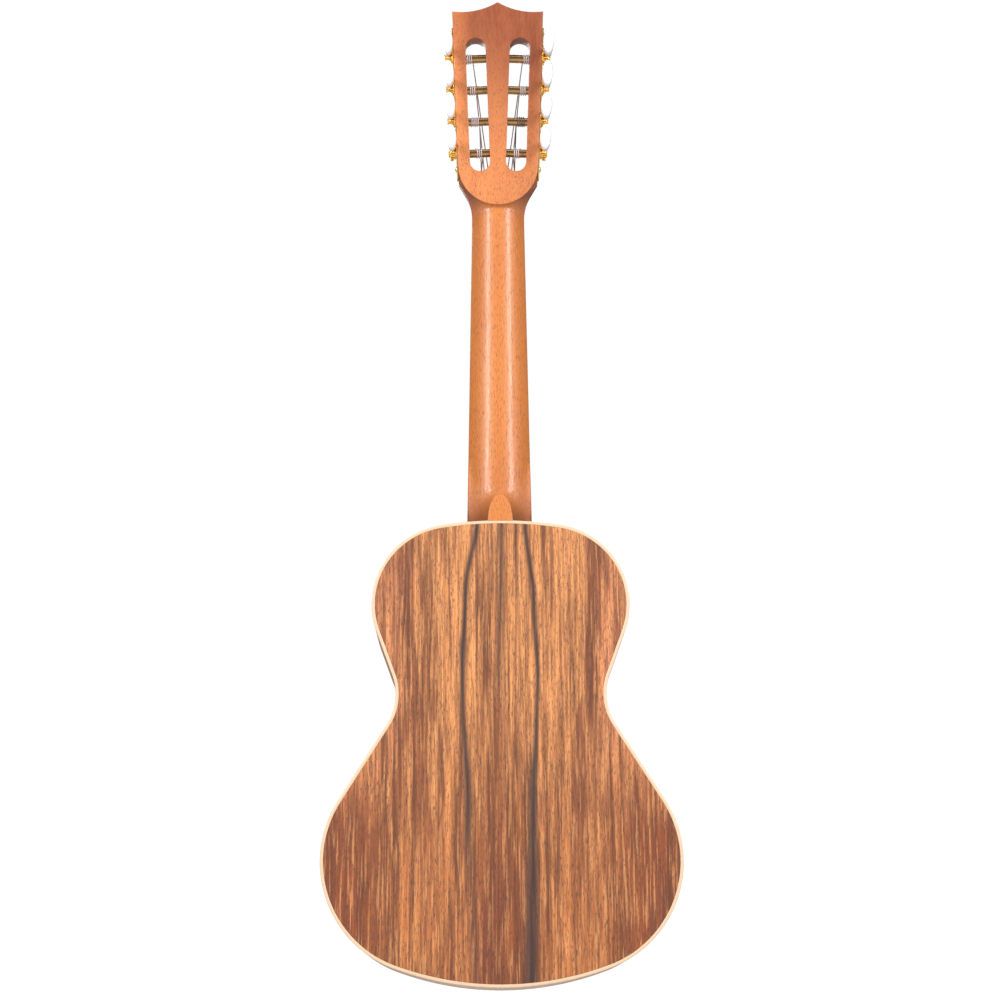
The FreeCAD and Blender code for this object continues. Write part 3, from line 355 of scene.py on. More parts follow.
@dataclass(frozen=True)
class BackWood(Wood):
    """Bookmatched figured wood: dark streaks both sides of the seam, red-brown bands further out."""

    streak: Colour = (0.030, 0.017, 0.016)
    red: Colour = (0.17, 0.036, 0.014)
    rose: Colour = (0.62, 0.20, 0.105)
    low: Colour = (0.56, 0.19, 0.055)
    deep: Colour = (0.26, 0.062, 0.018)
    pale: Colour = (0.80, 0.36, 0.13)
    length: float = 304.5 * MM
    tail: float = -544.07 * MM
    right_streak: Tuple[Tuple[float, float], ...] = (
        (0.0, 0.60), (0.34, 0.71), (0.68, 0.847), (0.84, 0.775), (1.0, 0.52))
    left_streak: Tuple[Tuple[float, float], ...] = (
        (0.0, 0.63), (0.34, 0.667), (0.66, 0.80), (0.81, 0.73), (1.0, 0.55))
    band_path: Tuple[Tuple[float, float], ...] = (
        (0.0, 0.46), (0.5, 0.52), (0.66, 0.60), (0.8, 0.635), (1.0, 0.64))

    def layout(self, graph: Graph, where: Term) -> Tuple[Term, Term, Term]:
        """The distance from the seam, the height from 0 to 1, and noise that frays edges."""
        axes = graph.add("ShaderNodeSeparateXYZ", None, {0: where})
        height = (axes.out("Z") - self.tail) / self.length
        wander = graph.noise(graph.stretch(where, (14, 0, 9), (3, 1, 2)), 1.0, 2.0) - 0.5
        ragged = graph.noise(self.along(graph, where, 2.2, 60.0), 1.0, 3.0)
        return axes.out("X") + wander * (3.0 * MM), height, ragged

    def tone(self, graph: Graph, where: Term) -> Term:
        """Ground colour: golden in the middle, rosy outside, redder and darker towards the tail."""
        across, height, ragged = self.layout(graph, where)
        outward = abs(across) / (100 * MM)
        base = graph.mix(height.rise(0.75, 0.1), self.colour, self.low)
        base = graph.mix(outward.rise(0.5, 0.75) * 0.55 * height.rise(0.3, 0.6), base, self.rose)
        inner = (outward - height.ramp(self.band_path)) / 0.055
        band = inner.rise(-1.3, -0.9) * inner.rise(1.3, 0.3) * height.rise(0.02, 0.42)
        base = graph.mix(outward.rise(0.5, 0.95) * height.rise(0.5, 0.3), base, self.deep)
        base = graph.mix(outward.rise(0.24, 0.1) * height.rise(0.55, 0.15) * 0.8, base, self.deep)
        return graph.mix(band * (0.35 + 0.75 * ragged), base, self.red)

    def figure(self, graph: Graph, where: Term, shade: Term) -> Term:
        """Dark streaks both sides of the seam, finer ones near the neck, and the seam itself."""
        across, height, ragged = self.layout(graph, where)
        reach = 30 * MM
        edge = across + (ragged - 0.5) * (1.8 * MM)
        low = height.rise(0.6, 0.05)
        right = edge.band(height.ramp(self.right_streak) * reach, (2.6 + 2.8 * low) * MM)
        right = right * (0.35 + 0.65 * height.rise(0.18, 0.42))
        left = edge.band(height.ramp(self.left_streak) * -reach, (2.2 + 3.6 * low) * MM)
        middle = edge.band((height * -0.17 + 0.14) * reach, 2.4 * MM) * height.rise(0.55, 0.8) * 0.85
        thin = edge.band(5.5 * MM, 1.2 * MM) * height.rise(0.8, 0.95) * 0.6
        thinner = edge.band(-10.5 * MM, 1.2 * MM) * height.rise(0.72, 0.9) * 0.55
        centre = edge.band(1.2 * MM, 5.5 * MM) * height.rise(0.95, 0.5) * 0.3
        foot = edge.band(9.0 * MM, 10.0 * MM) * height.rise(0.4, 0.05) * 0.35
        pale = graph.noise(self.along(graph, where, 1.5, 34.0), 1.0, 3.0).rise(0.5, 0.68)
        shade = graph.mix(pale * 0.42, shade, self.pale)
        shade = graph.mix((centre + foot) * (0.4 + ragged), shade, self.red)
        for mark in (right, left, middle, thin, thinner):
            shade = graph.mix(mark * (0.7 + 0.45 * ragged), shade, self.streak)
        return graph.mix(across.band(0.0, 0.3 * MM) * 0.55, shade, self.streak)


@dataclass(frozen=True)
class NeckWood(Wood):
    """Neck wood with painted shade in the cove under the head and round the heel."""

    # Colour of the painted shade in the cove and round the heel.
    pooled: Colour = (0.085, 0.018, 0.007)
    cove_z: float = 0.015
    heel_z: float = -0.2385

    def tone(self, graph: Graph, where: Term) -> Term:
        """Ground colour, deeper where shade is painted in the cove and round the heel."""
        axes = graph.add("ShaderNodeSeparateXYZ", None, {0: where})
        side = abs(axes.out("X"))
        # Painted shade: darker in the cove under the head's arc edge and in a halo beside the heel.
        cove = axes.out("Z").band(self.cove_z, 0.018) * side.rise(0.004, 0.02)
        heel = axes.out("Z").band(self.heel_z, 0.030) * side.rise(-0.008, 0.012)
        behind = axes.out("Y").rise(0.052, 0.04)
        return graph.mix(cove + heel * behind * 0.95, self.colour, self.pooled)


@dataclass(frozen=True)
class HeadWood(Wood):
    """Neck wood with painted shade that darkens it towards the head's crown, and a wood tone that darkens one
    edge.
    """

    # Colour of the painted shade at the head's top, also used for the darker wood tone of its left edge.
    crown: Colour = (0.20, 0.045, 0.012)
    low_z: float = 0.02
    high_z: float = 0.155

    def tone(self, graph: Graph, where: Term) -> Term:
        """Ground colour with painted shade that deepens upwards, least along the right edge."""
        axes = graph.add("ShaderNodeSeparateXYZ", None, {0: where})
        # Painted shade darkens the head towards its top; the first term in X darkens the left edge as wood
        # tone, the second spares the right edge.
        climb = axes.out("Z").rise(self.low_z, self.high_z) + axes.out("X").rise(0.012, -0.03) * 0.3
        climb = climb - axes.out("X").rise(0.018, 0.03) * 0.45
        return graph.mix(climb, self.colour, self.crown)


@dataclass(frozen=True)
class Metal(Finish):
    """Plated metal, a little uneven, darker where the plating has dulled."""

    dull: Colour = (0.28, 0.17, 0.05)
    worn: float = 0.3

    def paint(self, graph: Graph, where: Term) -> Dict[str, Term]:
        """Plating that dulls in patches."""
        patch = graph.noise(where, 260.0, 4.0).rise(0.5, 0.75)
        scratch = graph.noise(graph.stretch(where, (900, 900, 4000)), 1.0, 2.0)
        return {"Base Color": graph.mix(patch * self.worn, self.colour, self.dull),
                "Roughness": self.roughness + 0.12 * patch + 0.08 * scratch,
                "Normal": self.relief(graph, scratch, 0.008)}


@dataclass(frozen=True)
class Pearl(Finish):
    """Pearl plastic: milky, with faint lilac and rose clouds."""

    lilac: Colour = (0.72, 0.68, 0.80)
    rose: Colour = (0.93, 0.80, 0.80)

    def paint(self, graph: Graph, where: Term) -> Dict[str, Term]:
        """Soft clouds of two tints."""
        swirl = graph.noise(graph.stretch(where, (210, 120, 90)), 1.0, 3.0, 0.5, 1.6)
        cloud = graph.noise(graph.stretch(where, (130, 130, 60), (5, 2, 1)), 1.0, 2.0, 0.5, 1.0)
        shade = graph.mix(swirl.rise(0.5, 0.72) * 0.5, self.colour, self.lilac)
        shade = graph.mix(cloud.rise(0.52, 0.75) * 0.4, shade, self.rose)
        return {"Base Color": shade, "Roughness": self.roughness + 0.1 * swirl,
                "Normal": self.relief(graph, cloud, 0.02)}


@dataclass(frozen=True)
class WoundString(Finish):
    """Fine metal wire wound on a core, seen as close rings along the string."""

    pitch: float = 0.25 * MM

    def paint(self, graph: Graph, where: Term) -> Dict[str, Term]:
        """Rings across the string's run."""
        axes = graph.add("ShaderNodeSeparateXYZ", None, {0: where})
        ring = (axes.out("Z") * (2 * math.pi / self.pitch)).math("SINE") * 0.5 + 0.5
        return {"Base Color": graph.mix(ring * 0.5, self.colour, (0.04, 0.035, 0.035)),
                "Roughness": 0.3 + 0.2 * ring, "Normal": self.relief(graph, ring, 0.05)}


@dataclass(frozen=True)
class Inlay(Finish):
    """Ring of small tiles between pale lines, laid around the soundhole."""

    tile: Colour = (0.20, 0.09, 0.04)
    centre: Tuple[float, float, float] = (0.0, 0.0, -0.346)
    inner: float = 33 * MM
    outer: float = 39 * MM
    tiles: int = 96

    def paint(self, graph: Graph, where: Term) -> Dict[str, Term]:
        """Tiles by angle, lines by radius."""
        moved = graph.stretch(where, (1, 1, 1), tuple(-c for c in self.centre))
        axes = graph.add("ShaderNodeSeparateXYZ", None, {0: moved})
        radius = (axes.out("X") ** 2 + axes.out("Z") ** 2) ** 0.5
        turn = axes.out("X").math("ARCTAN2", axes.out("Z"))
        step = (turn * (self.tiles / (2 * math.pi))).math("FRACT") - 0.5
        share = (radius - self.inner) / (self.outer - self.inner)
        middle = share.rise(0.2, 0.24) * share.rise(0.8, 0.76)
        cell = abs(step).rise(0.2, 0.3)
        shade = graph.mix(middle, self.colour, graph.mix(cell, self.tile, (0.75, 0.6, 0.36)))
        rim = share.rise(0.1, 0.05) + share.rise(0.9, 0.95)
        return {"Base Color": graph.mix(rim, shade, (0.03, 0.02, 0.015)),
                "Roughness": 0.3 + 0.1 * cell, "Normal": self.relief(graph, cell * middle, 0.03)}


BACK_WOOD = BackWood("back_wood", (0.76, 0.31, 0.105), 0.42, coat=0.08, dark=(0.12, 0.032, 0.010),
                     pore=(0.04, 0.015, 0.008), stripe_mm=3.6, line_mm=1.2, stripes=0.95, lines=1.0,
                     pores=0.7, seed=3.0)
SIDE_WOOD = Wood("side_wood", (0.55, 0.25, 0.09), 0.32, coat=0.35, dark=(0.2, 0.07, 0.03),
                 stripe_mm=5.0, seed=9.0)
TOP_WOOD = Wood("soundboard_wood", (0.66, 0.36, 0.15), 0.32, coat=0.35, dark=(0.33, 0.13, 0.05),
                stripe_mm=4.0, stripes=0.45, pores=0.4, seed=14.0)
# NECK_WOOD carries painted shade in the cove and round the heel; HEAD_WOOD carries painted shade towards the
# head's top.
NECK_WOOD = NeckWood("neck_wood", (0.56, 0.185, 0.036), 0.4, coat=0.15, dark=(0.40, 0.10, 0.028),
                 pore=(0.20, 0.055, 0.02), stripe_mm=9.0, line_mm=1.6, stripes=0.3, lines=0.4, pores=0.75,
                 seed=5.0)
HEAD_WOOD = HeadWood("neck_wood", (0.64, 0.225, 0.07), 0.38, coat=0.1, dark=(0.40, 0.10, 0.03),
                     pore=(0.17, 0.045, 0.02), stripe_mm=9.0, line_mm=1.6, stripes=0.3, lines=0.4, pores=0.7,
                     seed=6.0)
VENEER_WOOD = Wood("veneer_wood", (0.5, 0.22, 0.09), 0.32, coat=0.35, dark=(0.2, 0.07, 0.03), seed=21.0)
INNER_WOOD = Wood("inner_wood", (0.72, 0.5, 0.28), 0.7, dark=(0.5, 0.3, 0.14), pores=0.2, seed=30.0)
DARK_WOOD = Wood("dark_wood", (0.075, 0.035, 0.022), 0.38, coat=0.1, dark=(0.025, 0.012, 0.01),
                 pore=(0.015, 0.01, 0.008), stripe_mm=3.0, seed=40.0)
BINDING = Finish("binding", (0.66, 0.47, 0.31), 0.35, coat=0.1)
BONE = Finish("bone", (0.84, 0.79, 0.64), 0.3, coat=0.3)
PEARL = Pearl("pearl", (0.80, 0.79, 0.82), 0.14, coat=0.8)
GOLD = Metal("gold_plate", (0.86, 0.56, 0.16), 0.2, 1.0)
GOLD_GEAR = Metal("gold_gear", (0.80, 0.50, 0.14), 0.24, 1.0, worn=0.5)
GOLD_SCREW = Metal("gold_screw", (0.72, 0.52, 0.22), 0.22, 1.0, worn=0.6)
ROLLER = Metal("roller_metal", (0.42, 0.25, 0.11), 0.2, 1.0, dull=(0.16, 0.08, 0.04), worn=0.7)
FRET_WIRE = Metal("fret_wire", (0.72, 0.71, 0.68), 0.22, 1.0, dull=(0.45, 0.44, 0.42))
NYLON = Finish("nylon", (0.55, 0.50, 0.54), 0.25, coat=0.4)
WOUND = WoundString("wound_string", (0.16, 0.13, 0.12), 0.35, 0.8)
ROSETTE = Inlay("rosette_inlay", (0.82, 0.70, 0.46), 0.3)


# ---------------------------------------------------------------- pieces

def settle(name: str, mesh: bpy.types.Mesh, finish: Finish, body: str, nodes: Sequence[str],
           slot: Optional[str] = None) -> bpy.types.Object:
    """Make a finished piece of a mesh.

    Args:
        name: the piece's name.
        mesh: its mesh, in place.
        finish: its finish, which replaces any material on the mesh.
        body: the CAD body that it rides on.
        nodes: the CAD nodes that it stands for.
        slot: a material slot name; not used.

    Returns:
        The piece.
    """
    mesh.materials.clear()
    mesh.materials.append(finish.material())
    piece = bpy.data.objects.new(name, mesh)
    bpy.context.scene.collection.objects.link(piece)
    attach(piece, body)
    if nodes:
        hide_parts(*nodes)
    slot or finish.name
    LOG.info("%s: %d faces on %s", name, len(mesh.polygons), body)
    return piece


def soften(work: bmesh.types.BMesh, name: str, crease: float = 32.0) -> bpy.types.Mesh:
    """Close a bmesh into a mesh with outward faces, smooth except across creases of the given angle."""
    bmesh.ops.recalc_face_normals(work, faces=work.faces)
    for face in work.faces:
        face.smooth = True
    for edge in work.edges:
        edge.smooth = len(edge.link_faces) == 2 and edge.calc_face_angle(0.0) < math.radians(crease)
    mesh = bpy.data.meshes.new(name)
    work.to_mesh(mesh)
    work.free()
    return mesh


def refined(node: str, bevel_mm: float = 0.0, crease: float = 32.0) -> bpy.types.Mesh:
    """A clean copy of a CAD node's mesh, merged, with its sharp edges eased by a small bevel."""
    work = bmesh.new()
    work.from_mesh(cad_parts[node].data)
    bmesh.ops.remove_doubles(work, verts=work.verts, dist=1e-6)
    bmesh.ops.dissolve_limit(work, angle_limit=math.radians(0.8), verts=work.verts, edges=work.edges)
    bmesh.ops.recalc_face_normals(work, faces=work.faces)
    if bevel_mm:
        sharp = [edge for edge in work.edges
                 if edge.is_manifold and edge.calc_face_angle(0.0) > math.radians(crease)]
        bmesh.ops.bevel(work, geom=sharp, offset=bevel_mm * MM, segments=2, affect="EDGES",
                        profile=0.5, clamp_overlap=True)
    return soften(work, node + "_refined", crease)


def dress(nodes: Sequence[str], finish: Finish, body: str = BODY, bevel_mm: float = 0.0,
          crease: float = 32.0) -> None:
    """Replace CAD nodes by refined copies in the given finish."""
    for node in nodes:
        settle(node + "_finished", refined(node, bevel_mm, crease), finish, body, [node])


def paint(nodes: Sequence[str], finish: Finish) -> None:
    """Give CAD nodes that stay as they are a finish of their own."""
    for node in nodes:
        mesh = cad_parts[node].data
        mesh.materials.clear()
        mesh.materials.append(finish.material())


def arc(centre: Tuple[float, float], radius: float, start: float, end: float, count: int) -> np.ndarray:
    """Points on an arc, from one angle in degrees to another."""
    angles = np.radians(np.linspace(start, end, count))
    return np.column_stack((centre[0] + radius * np.cos(angles), centre[1] + radius * np.sin(angles)))


def loop_normals(loop: np.ndarray) -> np.ndarray:
    """Outward normals at the corners of a loop whose material lies on its left."""
    ahead = np.roll(loop, -1, 0) - loop
    ahead /= np.linalg.norm(ahead, axis=1)[:, None]
    behind = np.roll(ahead, 1, 0)
    out = np.column_stack((ahead[:, 1], -ahead[:, 0])) + np.column_stack((behind[:, 1], -behind[:, 0]))
    size = np.linalg.norm(out, axis=1)[:, None]
    return out / size / np.maximum(size / 2, 0.5)


def slab_mesh(name: str, loops: Sequence[np.ndarray], low: float, high: float, bevel: float,
              place: Place, steps: int = 3) -> bpy.types.Mesh:
    """A flat piece with rounded edges.

    Args:
        name: the mesh's name.
        loops: the outer outline, then holes, all with the material on their left.
        low: the level of its front face.
        high: the level of its back face.
        bevel: the edges' radius.
        place: turns across, level and along into a point.
        steps: how many faces round each edge.

    Returns:
        The mesh.
    """
    work = bmesh.new()
    turns = np.linspace(0, math.pi / 2, steps + 1)
    levels = [(bevel * (1 - math.sin(a)), low + bevel * (1 - math.cos(a))) for a in turns]
    levels += [(bevel * (1 - math.cos(a)), high - bevel * (1 - math.sin(a))) for a in turns]
    caps: Tuple[list, list] = ([], [])
    for loop in loops:
        normals = loop_normals(loop)
        rings = [[work.verts.new(place(x, level, s)) for x, s in loop - normals * inset]
                 for inset, level in levels]
        for ring, following in zip(rings, rings[1:]):
            for i in range(len(ring)):
                j = (i + 1) % len(ring)
                work.faces.new((ring[i], ring[j], following[j], following[i]))
        for cap, ring in zip(caps, (rings[0], rings[-1])):
            cap += [work.edges.get((ring[i], ring[(i + 1) % len(ring)])) for i in range(len(ring))]
    for cap in caps:
        bmesh.ops.triangle_fill(work, use_beauty=True, edges=cap)
    return soften(work, name)


def carve(mesh: bpy.types.Mesh, tools: Sequence[bpy.types.Mesh]) -> bpy.types.Mesh:
    """Cut closed tool meshes out of a closed mesh."""
    for tool in tools:
        target = bpy.data.objects.new("carved", mesh)
        cutter = bpy.data.objects.new("cutter", tool)
        for item in (target, cutter):
            bpy.context.scene.collection.objects.link(item)
        step = target.modifiers.new("carve", "BOOLEAN")
        step.operation, step.solver, step.object = "DIFFERENCE", "EXACT", cutter
        mesh = baked(target)
        bpy.data.objects.remove(cutter)
    return mesh


def baked(item: bpy.types.Object) -> bpy.types.Mesh:
    """The mesh that an object's modifiers give, after which the object is removed."""
    mesh = bpy.data.meshes.new_from_object(item.evaluated_get(bpy.context.evaluated_depsgraph_get()))
    bpy.data.objects.remove(item)
    return mesh


def grid_mesh(name: str, rows: Sequence[Sequence[Vector]], crease: float = 40.0) -> bpy.types.Mesh:
    """A skin over rows of points, each row a closed ring, with both ends capped."""
    work = bmesh.new()
    rings = [[work.verts.new(point) for point in row] for row in rows]
    for ring, following in zip(rings, rings[1:]):
        for i in range(len(ring)):
            j = (i + 1) % len(ring)
            work.faces.new((ring[i], ring[j], following[j], following[i]))
    for ring in (rings[0], rings[-1]):
        work.faces.new(ring)
    return soften(work, name, crease)


def tube(name: str, points: Sequence[Vector], radius: float, sides: int = 10) -> bpy.types.Mesh:
    """A round tube along a line of points."""
    rows = []
    across = Vector((1.0, 0.0, 0.0))
    for index, point in enumerate(points):
        ahead = points[min(index + 1, len(points) - 1)] - points[max(index - 1, 0)]
        ahead.normalize()
        across = (across - ahead * across.dot(ahead)).normalized()
        up = ahead.cross(across)
        rows.append([point + across * (radius * math.cos(a)) + up * (radius * math.sin(a))
                     for a in np.linspace(0, 2 * math.pi, sides, endpoint=False)])
    return grid_mesh(name, rows, crease=70.0)


def joined(name: str, meshes: Sequence[bpy.types.Mesh]) -> bpy.types.Mesh:
    """Several meshes as one."""
    work = bmesh.new()
    for mesh in meshes:
        work.from_mesh(mesh)
    made = bpy.data.meshes.new(name)
    work.to_mesh(made)
    work.free()
    return made


class Grower:
    """A Geometry Nodes tree with named inputs, grown into a plain mesh."""

    KINDS = {float: "NodeSocketFloat", int: "NodeSocketInt"}

    def __init__(self, name: str, inputs: Dict[str, float]) -> None:
        """Start a tree whose inputs have the given names and default values."""
        self.tree = bpy.data.node_groups.new(name, "GeometryNodeTree")
        self.graph = Graph(self.tree)
        face = self.tree.interface
        face.new_socket("Geometry", in_out="INPUT", socket_type="NodeSocketGeometry")
        face.new_socket("Geometry", in_out="OUTPUT", socket_type="NodeSocketGeometry")
        self.sockets = {}
        for key, default in inputs.items():
            socket = face.new_socket(key, in_out="INPUT", socket_type=self.KINDS[type(default)])
            socket.default_value = default
            self.sockets[key] = socket.identifier
        self.sockets["Finish"] = face.new_socket(
            "Finish", in_out="INPUT", socket_type="NodeSocketMaterial").identifier
        self.start = self.graph.add("NodeGroupInput")

    def given(self, name: str) -> Term:
        """The value of a named input."""
        return self.start.out(name)

    def close(self, geometry: Term) -> None:
        """End the tree: instances become real and take the finish."""
        real = self.graph.add("GeometryNodeRealizeInstances", None, {0: geometry})
        smooth = self.graph.add("GeometryNodeSetShadeSmooth", None, {"Geometry": real})
        done = self.graph.add("GeometryNodeSetMaterial", None,
                              {"Geometry": smooth, "Material": self.given("Finish")})
        end = self.tree.nodes.new("NodeGroupOutput")
        self.tree.links.new(done.socket, end.inputs[0])

    def grow(self, finish: Finish, base: Optional[bpy.types.Mesh] = None, **values: float) -> bpy.types.Mesh:
        """Grow a mesh.

        Args:
            finish: what the mesh is made of.
            base: the mesh that the tree starts from, if it needs one.
            **values: inputs that differ from their defaults, with _ for a space.

        Returns:
            The plain mesh.
        """
        seed = bpy.data.objects.new("seed", base or bpy.data.meshes.new("seed"))
        bpy.context.scene.collection.objects.link(seed)
        step = seed.modifiers.new("grow", "NODES")
        step.node_group = self.tree
        step[self.sockets["Finish"]] = finish.material()
        for key, given in values.items():
            step[self.sockets[key.replace("_", " ")]] = given
        return baked(seed)


# ---------------------------------------------------------------- body

@dataclass
class BodyOutline:
    """Outline of the body: bouts and waist as arcs with straight tangents between, in metres."""

    length: float = 304.5 * MM
    lower: Tuple[float, float, float] = (116.84 * MM, 72.46 * MM, 80.29 * MM)
    waist: Tuple[float, float, float] = (68.95 * MM, 36.76 * MM, 187.67 * MM)
    upper: Tuple[float, float, float] = (85.15 * MM, 54.02 * MM, 248.03 * MM)
    tail: float = field(default_factory=lambda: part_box("back_binding")[0].z)

    def closing(self, bout: np.ndarray, radius: float, end: float, sign: int) -> Tuple[np.ndarray, float]:
        """The arc centred on the middle line that closes the outline at one end.

        Args:
            bout: the centre of the bout's arc.
            radius: the bout's radius.
            end: the height at which the outline crosses the middle line.
            sign: +1 at the tail and -1 at the neck.

        Returns:
            The arc's centre and radius.
        """
        climb = abs(end - bout[1])
        size = (bout[0] ** 2 + climb ** 2 - radius ** 2) / (2 * (climb - radius))
        return np.array((0.0, end + sign * size)), size

    @staticmethod
    def tangent_angle(centre: np.ndarray, radius: float, other: np.ndarray, far: float, turn: int) -> float:
        """The angle in degrees at which an inner tangent of two circles leaves the first one."""
        across = other - centre
        reach = math.acos((radius + far) / np.linalg.norm(across))
        return math.degrees(math.atan2(across[1], across[0]) + turn * reach)

    def points(self, inset: float = 0.0, step: int = 40) -> np.ndarray:
        """Corners of the whole outline, counted round from the tail, at an inset from the outer edge."""
        low = np.array((self.lower[0] - self.lower[1], self.lower[2]))
        mid = np.array((self.waist[0] + self.waist[1], self.waist[2]))
        top = np.array((self.upper[0] - self.upper[1], self.upper[2]))
        r_low, r_mid, r_top = self.lower[1] - inset, self.waist[1] + inset, self.upper[1] - inset
        tail_centre, tail_radius = self.closing(low, r_low, inset, 1)
        head_centre, head_radius = self.closing(top, r_top, self.length - inset, -1)
        tail_end = math.degrees(math.atan2(*(low - tail_centre)[::-1]))
        head_start = math.degrees(math.atan2(*(top - head_centre)[::-1]))
        leave_low = self.tangent_angle(low, r_low, mid, r_mid, -1)
        meet_mid = self.tangent_angle(mid, r_mid, low, r_low, -1) % 360
        leave_mid = self.tangent_angle(mid, r_mid, top, r_top, 1) % 360
        meet_top = self.tangent_angle(top, r_top, mid, r_mid, 1)
        right = np.vstack((
            arc(tuple(tail_centre), tail_radius, -90, tail_end, step // 2),
            arc(tuple(low), r_low, tail_end, leave_low, step)[1:],
            arc(tuple(mid), r_mid, meet_mid, leave_mid, step // 2),
            arc(tuple(top), r_top, meet_top, head_start, step),
            arc(tuple(head_centre), head_radius, head_start, 90, step // 2)[1:],
        ))
        left = right[-2:0:-1] * (-1, 1)
        whole = np.vstack((right, left))
        return whole + (0.0, self.tail)


@dataclass
class BodyShell:
    """Back, sides, soundboard, bindings and what is inside them."""

    outline: BodyOutline = field(default_factory=BodyOutline)
    binding_width: float = 2.3 * MM
    binding_depth: float = 2.25 * MM
    binding_round: float = 0.7 * MM
    proud: float = 0.04 * MM

    def build(self) -> None:
        """Dress the plates and sides, sweep the bindings and paint what is inside."""
        dress(["back_left", "back_right"], BACK_WOOD)
        dress(["side_left", "side_right"], SIDE_WOOD)
        dress(["soundboard_left", "soundboard_right"], TOP_WOOD, bevel_mm=0.12)
        dress(["rosette"], ROSETTE)
        paint(["neck_block", "tail_block", "top_linings", "back_linings", "top_braces", "back_braces",
               "bridge_plate"], INNER_WOOD)
        strip = self.binding_tree()
        for node, back in (("back_binding", True), ("top_binding", False)):
            mesh = strip.grow(BINDING, self.path_mesh(), Width=self.binding_width, Depth=self.binding_depth,
                              Corner=self.binding_round)
            low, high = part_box(node)
            level = high.y + self.proud - self.binding_depth / 2 if back else \
                low.y - self.proud + self.binding_depth / 2
            mesh.transform(Matrix.Translation((0, level, 0)) @ Matrix.Rotation(math.radians(90), 4, "X"))
            work = bmesh.new()
            work.from_mesh(mesh)
            settle(node + "_strip", soften(work, node + "_strip"), BINDING, BODY, [node])

    def path_mesh(self) -> bpy.types.Mesh:
        """The line along the middle of a binding, flat in X and Y."""
        points = self.outline.points(self.binding_width / 2)
        mesh = bpy.data.meshes.new("binding_path")
        edges = [(i, (i + 1) % len(points)) for i in range(len(points))]
        mesh.from_pydata([(x, z, 0.0) for x, z in points], edges, [])
        return mesh

    @staticmethod
    def binding_tree() -> Grower:
        """A rounded strip swept along a closed line."""
        grower = Grower("binding_strip", {"Width": 2.3 * MM, "Depth": 2.2 * MM, "Corner": 0.7 * MM})
        graph = grower.graph
        line = graph.add("GeometryNodeMeshToCurve", None, {0: grower.given("Geometry")})
        upright = graph.add("GeometryNodeSetCurveNormal", {"mode": "Z_UP"}, {0: line})
        shape = graph.add("GeometryNodeCurvePrimitiveQuadrilateral", {"mode": "RECTANGLE"}, {
            0: grower.given("Width"), 1: grower.given("Depth")})
        eased = graph.add("GeometryNodeFilletCurve", {"mode": "POLY"}, {
            "Curve": shape, "Radius": grower.given("Corner"), "Count": 4})
        swept = graph.add("GeometryNodeCurveToMesh", None, {0: upright, 1: eased})
        grower.close(swept)
        return grower


# ---------------------------------------------------------------- neck and head

@dataclass
class HeadFrame:
    """The tilted frame of the head, and the deck frame of its side edges."""

    tilt: float = math.radians(10.0)
    low_half: float = 28.6 * MM
    low: float = 33.0 * MM
    high_half: float = 32.8 * MM
    high: float = 148.9 * MM

    @property
    def lean(self) -> float:
        """How far the side edges lean out."""
        return math.atan((self.high_half - self.low_half) / (self.high - self.low))

    def point(self, x: float, depth: float, along: float) -> Vector:
        """A point from its place across, behind and along the head's face."""
        return Vector((x, depth * math.cos(self.tilt) + along * math.sin(self.tilt),
                       along * math.cos(self.tilt) - depth * math.sin(self.tilt)))

    def edge(self, out: float, up: float) -> Tuple[float, float]:
        """Across and along the face, from out of the side edge and up it."""
        return (self.low_half + out * math.cos(self.lean) + up * math.sin(self.lean),
                self.low - out * math.sin(self.lean) + up * math.cos(self.lean))

    def deck(self, side: int, out: float, depth: float, up: float) -> Vector:
        """A point from its place out of the side edge, behind the face and up the edge."""
        x, along = self.edge(out, up)
        return self.point(side * x, depth, along)

    def deck_matrix(self, side: int, out: float, depth: float, up: float) -> Matrix:
        """Turns a piece drawn with X out, Y deep and Z up into its place on one side."""
        origin = self.deck(side, out, depth, up)
        axes = [(self.deck(side, out + a, depth + b, up + c) - origin)
                for a, b, c in ((1, 0, 0), (0, 1, 0), (0, 0, 1))]
        turn = Matrix((axes[0], axes[1], axes[2])).transposed().to_4x4()
        return Matrix.Translation(origin) @ turn


def smooth_max(first: np.ndarray, second: np.ndarray, ease: float) -> np.ndarray:
    """The larger of two values, with a fillet of the given size where they meet."""
    near = np.maximum(ease - np.abs(first - second), 0.0)
    return np.maximum(first, second) + near ** 2 / (4 * ease)


